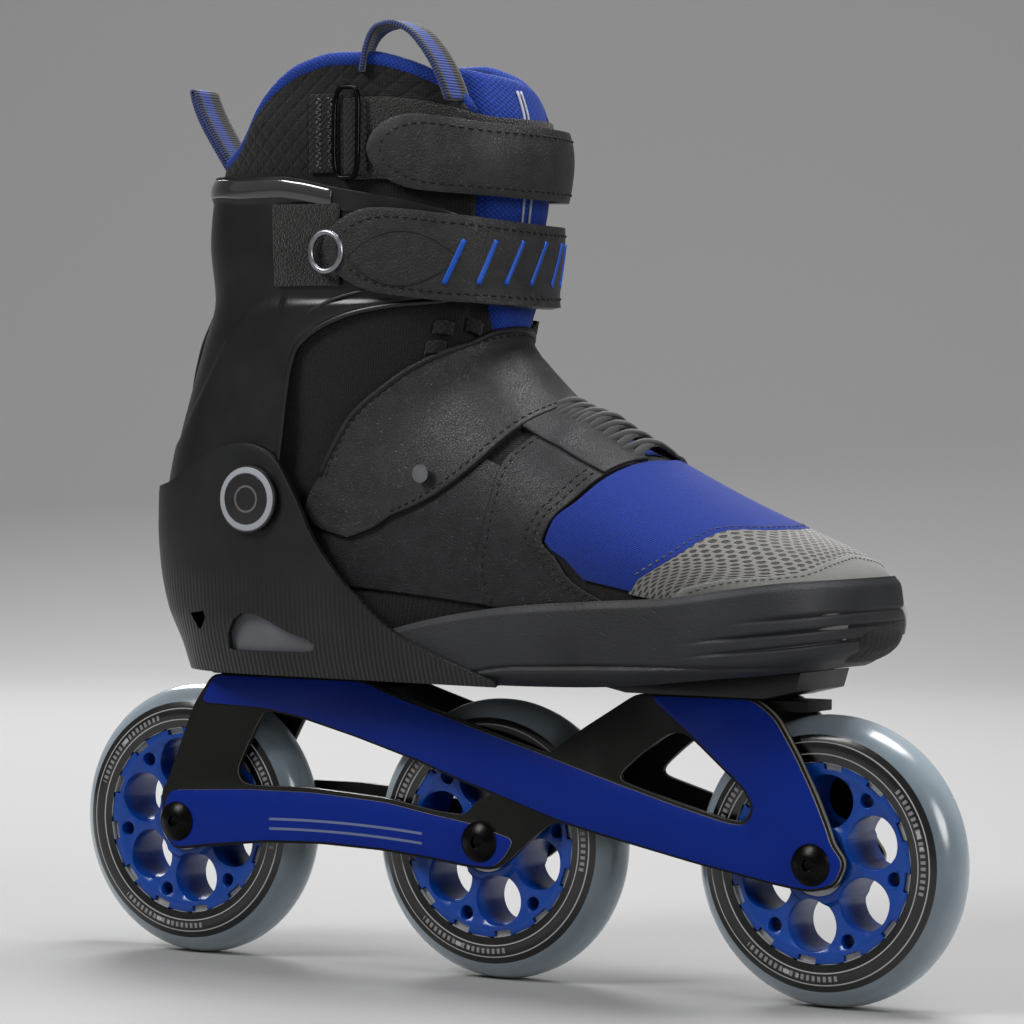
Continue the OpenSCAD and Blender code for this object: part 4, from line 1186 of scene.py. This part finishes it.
saddle_low = even([[20, 5.0], [45, 5.25], [60, 5.4], [75, 5.62], [84, 5.66], [92, 5.2], [100, 4.4],
    [108, 3.8]])
saddle_high = even([[20, 6.6], [40, 6.75], [60, 6.9], [75, 6.75], [90, 6.6], [100, 6.4],
    [108, 6.2]])
quarter_high = even([[62, 7.6], [75, 8.3], [90, 9.0], [108, 9.6]])
for side_name, sign in SIDES:
    foot_panel("saddle_" + side_name, overlay_mat, (sign * 21, sign * 108),
               saddle_low, saddle_high, 0.5, 1.4)
    foot_panel("quarter_" + side_name, overlay_mat, (sign * 62, sign * 108),
               lambda f: saddle_high(f) - 0.06, quarter_high, 0.0, 0.9, rows=24)
    foot_panel("eyestay_" + side_name, overlay_mat, (sign * 13, sign * 40),
               even([[13, 4.95], [40, 5.2]]), even([[13, 7.4], [40, 7.2]]), 1.4, 1.6,
               "eyestay" if sign == 1 else None, cols=24)

LACE_END = 25
lace_parts = []
for k in np.linspace(5.2, 7.0, 7):
    for lean in (-1, 1):
        f = np.linspace(-LACE_END, LACE_END, 26)
        lift = 0.2 + 1.9 * np.cos(np.radians(f * 3)) ** 2 * step(np.abs(f), LACE_END, 12)
        over = 0.9 if lean > 0 else 0.2
        lift = lift + over * step(np.abs(f), 14, 2) - 1.2 * step(np.abs(f), 16, 24)
        path = foot(k + lean * 0.15 * f / LACE_END, f, lift)
        lace_parts.append(tube_object("lace", path, 1.7, 8, flat=0.55, up=(0.5, 0, 0.86)))
dress(recalc(merge("lace_rows", lace_parts)), cord_mat, "chassis", "laces")

# ------------------------------------------------------------------ stitching on the foot


def foot_line(k_of, turns, off):
    """Stitch line on the foot at ring k_of(turn), with its normals."""
    path = boot(k_of(turns), turns, off)
    return path, path - boot(k_of(turns), turns, off - 3)


rows = []
for sign in (-1, 1):
    span = sign * np.linspace(24, 106, 90)
    rows.append(foot_line(lambda f: saddle_low(f) + 0.13, span, 0.55))
    rows.append(foot_line(lambda f: saddle_low(f) + 0.26, span, 0.55))
    rows.append(foot_line(lambda f: saddle_high(f) - 0.12, span, 0.55))
stitches("saddle_stitching", rows, "chassis", thread_mat)
rows = [foot_line(lambda f: cap_edge(f) - 0.09, np.linspace(-90, 90, 160), 0.55),
        foot_line(lambda f: net_edge(f) + 0.1, np.linspace(-88, 88, 160), 0.2)]
stitches("toe_stitching", rows, "chassis", grey_thread, pitch=2.8, length=1.9, radius=0.32)

# ------------------------------------------------------------------ instep strap

strap_low = even([[0, 6.95], [20, 7.0], [46, 7.15], [63, 7.3], [80, 7.65], [88, 8.0], [94, 8.5]])
strap_high = even([[0, 12.15], [16, 12.15], [36, 12.0], [48, 11.95], [58, 11.8], [68, 11.4],
    [76, 11.0], [84, 10.3], [90, 9.8], [94, 9.5]])
STRAP_LIFT = 1.95
# The strap opens about its inner edge; the sewn anchor under that edge stays on the boot
for label, body_name, node, first, last in (
        ("instep", "instep_strap", "instep_strap", -40.5, 94),
        ("instep_anchor", "chassis", "instep_strap_anchor", -94, -41.3)):
    foot_panel(label + "_leather", strap_leather, (first, last), strap_low,
               strap_high, STRAP_LIFT, 2.4, node, cols=int(last - first), body_name=body_name,
               bevel=0.8, surface=boot)
    span = np.linspace(max(first, -90) + 0.5, min(last, 90) - 0.5, int(last - first))
    rows = [foot_line(lambda f: strap_low(f) + 0.14, span, STRAP_LIFT + 0.1),
            foot_line(lambda f: strap_high(f) - 0.2, span, STRAP_LIFT + 0.1)]
    stitches(label + "_stitching", rows, body_name, thread_mat)
    edge_path = boot(strap_high(span) - 0.03, span, STRAP_LIFT - 0.5)
    dress(tube_object(label + "_edge", edge_path, 1.2, 8, up=(1, 0, 0.3)), overlay_mat,
          body_name)

# Webbing loops that guide the laces at the ankle
for index, (k0, f0, k1, f1) in enumerate(((12.75, 50, 12.5, 42), (12.3, 53, 12.1, 45),
                                          (12.5, 35, 12.25, 26))):
    for side_name, sign in SIDES:
        t = np.linspace(0, 1, 16)
        path = boot(k0 + (k1 - k0) * t, sign * (f0 + (f1 - f0) * t), 0.3 + 1.6 * np.sin(t * np.pi))
        band = band_object("lace_loop_%d_%s" % (index, side_name), path, (0.2, 0, 0.98), 4.6, 0.8)
        dress(band, band_mat, "chassis")

# ------------------------------------------------------------------ straps on the cuff

ROUND_END = 15.0
STITCH_INSET = 3.0
STITCH_TIP = 3.5


def tip_shrink(turns, tip, least=1e-4):
    """Share of a strap's width left near its round end at the turn tip."""
    reach = np.clip((tip - turns) / ROUND_END, 0, 1)
    return np.sqrt(np.clip(1 - (1 - reach) ** 2.2, least, 1))


def strap(name, start, tip, low, high, out, thick):
    """Leather strap from the turn start to a round tip, with a row of stitches near its edge."""
    turns = start + (tip - start) * np.sin(np.linspace(0, np.pi / 2, 90))
    middle, half = (low(turns) + high(turns)) / 2, (high(turns) - low(turns)) / 2
    half = half * tip_shrink(turns, tip)
    rows = [leg(middle + half * v, turns, out(turns) + 0.7 * (1 - np.abs(v) ** 3))
            for v in np.linspace(-1, 1, 22)]
    sheet(name + "_leather", rows, thick, 0.7, strap_leather, name,
          name + "_tail")

    turns = start + (tip - start) * np.sin(np.linspace(0.02, np.pi / 2, 160))
    turns = turns[turns <= tip - STITCH_TIP + 0.1]
    middle, half = (low(turns) + high(turns)) / 2, (high(turns) - low(turns)) / 2 - STITCH_INSET
    half = half * tip_shrink(turns, tip - STITCH_TIP, 0)
    path = np.concatenate([leg(middle + half, turns, out(turns) + 0.5),
                           leg(middle - half, turns, out(turns) + 0.5)[::-1]])
    outward = (path - [LEG_MID, 0, 0]) * [1, 1, 0]
    stitches(name + "_stitching", [(path, outward)], name, thread_mat, pitch=3.4, length=2.2,
             radius=0.45)


top_low = curve([[-75, 279], [-3, 277], [48, 279], [64, 281], [72, 282]])
top_high = curve([[-75, 304], [-16, 302.4], [30, 303.6], [64, 307], [72, 307]])
mid_low = curve([[-84, 243], [-3, 239.6], [46, 241], [63, 243], [82, 247]])
mid_high = curve([[-84, 270], [-4, 268.4], [47, 271.6], [71, 274], [82, 273]])
top_out = lambda f: 5.2 + 2.8 * step(turn_gap(f), 62, 20)
mid_out = lambda f: 7.2 + 0.2 * step(turn_gap(f), 62, 20)
strap("collar_strap", -60, 71.6, top_low, top_high, top_out, 2.4)
strap("cuff_strap", -76, 82.3, mid_low, mid_high, mid_out, 2.6)

# Print on the cuff strap: slanted bars, in place of lettering, behind two curved seams
blue_line = moulded("blue_print", rgb(0, 60, 150), rgb(4, 78, 180), 0.4).done()
bars = []
for start in (44.0, 30.0, 17.0, 4.0, -9.0, -22.0):
    t = np.linspace(0, 1, 14)
    turns = start - 3.5 + 7.0 * t
    across = math.radians(start)
    bars.append(tube_object("bar", leg(262.5 - 15.5 * t, turns, mid_out(turns) + 0.55), 1.05, 8,
                            flat=0.6, up=(math.cos(across), -math.sin(across), 0)))
dress(recalc(merge("cuff_strap_print", bars)), blue_line, "cuff_strap")
seam_parts = []
for bend in (-1, 1):
    u = np.linspace(0, 1, 50)
    z = 256 + bend * 9.5 * np.sin(np.pi * u ** 0.8)
    f = 76 - 34 * u
    seam_parts.append(tube_object("seam", leg(z, f, mid_out(f) + 0.62), 0.28, 6, up=(0.2, 1, 0)))
dress(recalc(merge("cuff_strap_seams", seam_parts)), thread_mat, "cuff_strap")

# ------------------------------------------------------------------ webbing and rings


def wrap(name, turns, low, height, out, count, thick, bevel, mat, slot, node=None):
    """Webbing wrapped round the leg, its lower edge at low."""
    rows = [leg(low + height * v, turns, out) for v in np.linspace(0, 1, count)]
    sheet(name, rows, thick, bevel, mat, "cuff", node)


turns = np.linspace(-64, 79, 70)
wrap("collar_strap_web", turns, 284, 29 - 7 * step(turns, 70, 20), 2.6, 14, 1.5, 0.4, hook_mat,
     "webbing", "collar_strap_base")
wrap("cuff_strap_web", np.linspace(-82, 70, 70), 244, 23, 4.9, 12, 1.4, 0.4, hook_mat, "webbing",
     "cuff_strap_base")

# Sewn webbing that anchors the collar strap's loop, with a zig-zag bartack
turns = np.linspace(75.5, 87, 24)
wrap("collar_strap_anchor", turns, 286.5, 28, 2.4 + 0.9 * step(turns, 79, 77), 16, 1.2, 0.4,
     band_mat, "webbing")
rows = []
for centre_turn in (81.5, 84.5):
    z = np.linspace(288, 313, 30)
    zig = centre_turn + 0.9 * np.where(np.arange(30) % 2 == 0, -1, 1)
    path = leg(z, zig, 2.7)
    rows.append((path, np.tile([0.0, -1.0, 0.0], (30, 1))))
stitches("anchor_bartack", rows, "cuff", grey_thread, pitch=1.75, length=1.6, radius=0.35)


def loop_frame(x0, x1, z0, z1, rounding=0.3):
    """Rounded rectangle (x, z)."""
    corners = np.array([(x0, z0), (x1, z0), (x1, z1), (x0, z1)])
    path = []
    for i in range(4):
        a, b, c = corners[i - 1], corners[i], corners[(i + 1) % 4]
        p, q = b + (a - b) * rounding, b + (c - b) * rounding
        for t in np.linspace(0, 1, 7):
            path.append((1 - t) ** 2 * p + 2 * t * (1 - t) * b + t * t * q)
    return np.array(path)


ring_xz = loop_frame(-44.5, -34.5, 284.5, 316.5)
y = -leg_half(ring_xz[:, 1]) - 3.6
ring_path = np.stack([ring_xz[:, 0], y, ring_xz[:, 1]], -1)
dress(tube_object("collar_strap_loop", ring_path, 0.95, 10, closed=True, up=(0, 1, 0)),
      black_steel, "cuff", "collar_strap_ring")

turns = np.linspace(71.5, 77.6, 16)
wrap("collar_strap_fold", turns, 285.5, 27, 4.2 + 1.1 * np.sin(np.pi * (turns - 71.5) / 6.1) ** 0.6,
     14, 1.6, 0.5, band_mat, "webbing")

D_RING_MID = (-46.5, -47.2, 258.5)
around = np.linspace(0, 2 * np.pi, 40, endpoint=False)
d_path = D_RING_MID + np.stack([6.4 * np.cos(around), 0 * around, 6.9 * np.sin(around)], -1)
dress(tube_object("cuff_strap_d_ring", d_path, 1.15, 10, closed=True, up=(0, 1, 0)),
      steel_mat, "cuff", "cuff_strap_ring")

wrap("hook_field", np.linspace(79, 97, 30), 246.5, 29, CUFF_OUT + 0.7, 20, 1.0, 0.3, hook_mat,
     "hook_fabric", "hook_patch")

# ------------------------------------------------------------------ stage, light and camera

# The camera stands in front of the toe's outer side, almost level with the boot
CAMERA_PLACE = (0.77085, -1.26987, 0.20324)
CAMERA_RIGHT = Vector((0.85729, 0.51479, 0.00675))
CAMERA_BACK = Vector((0.51464, -0.85726, 0.01616))
CAMERA_UP = CAMERA_BACK.cross(CAMERA_RIGHT)
TARGET = (0.0, 0.0, 0.16)


def studio_floor():
    """Seamless floor that curves up behind the skate, square to the camera."""
    sweep, distance, half_width, height = 1.4, 1.6, 7.0, 5.0
    profile = [(-3.0, 0.0)]
    profile += [(distance + sweep * math.sin(t), sweep - sweep * math.cos(t))
                for t in np.linspace(0, math.pi / 2, 24)]
    profile.append((distance + sweep, height))
    away = Vector((-CAMERA_BACK.x, -CAMERA_BACK.y, 0.0)).normalized()
    side_way = Vector((away.y, -away.x, 0.0))
    verts = [tuple(away * d + side_way * w + Vector((0, 0, h))) for d, h in profile
             for w in (-half_width, half_width)]
    faces = [(2 * i, 2 * i + 1, 2 * i + 3, 2 * i + 2) for i in range(len(profile) - 1)]
    floor = new_object("floor", np.array(verts) / MM, faces)
    paint = Shader("floor_paint", rough=0.9)
    paint.colour(rgb(142, 142, 142))
    floor.data.materials.append(paint.done())


studio_floor()
world = bpy.data.worlds.new("studio")
bpy.context.scene.world = world
world.use_nodes = True
world.node_tree.nodes["Background"].inputs["Color"].default_value = rgb(190, 190, 192)
world.node_tree.nodes["Background"].inputs["Strength"].default_value = 0.42


def area_light(name, place, target, size_m, power):
    """Round light at a place, turned to its target."""
    light = bpy.data.lights.new(name, "AREA")
    light.shape = "DISK"
    light.size = size_m
    light.energy = power
    obj = bpy.data.objects.new(name, light)
    obj.location = place
    obj.rotation_euler = (Vector(target) - Vector(place)).to_track_quat("-Z", "Y").to_euler()
    bpy.context.scene.collection.objects.link(obj)


area_light("key", (-0.9, -1.5, 1.6), TARGET, 0.9, 40)
area_light("fill", (1.9, -0.7, 0.8), TARGET, 0.9, 20)
area_light("rim", (-1.1, 1.2, 1.1), TARGET, 0.8, 26)
area_light("top", (0.3, 0.2, 1.9), TARGET, 1.0, 26)
area_light("backdrop", (0.4, 0.4, 2.2), (-1.2, 2.0, 0.6), 1.4, 34)

camera_data = bpy.data.cameras.new("camera")
camera_data.sensor_width = 36.0
camera_data.lens = 146.27
camera_data.shift_x = -0.01445
camera_data.shift_y = -0.03437
camera = bpy.data.objects.new("camera", camera_data)
turn = Matrix((CAMERA_RIGHT, CAMERA_UP, CAMERA_BACK)).transposed().to_4x4()
camera.matrix_world = Matrix.Translation(CAMERA_PLACE) @ turn
bpy.context.scene.collection.objects.link(camera)
bpy.context.scene.camera = camera
bpy.context.scene.view_settings.view_transform = "Standard"
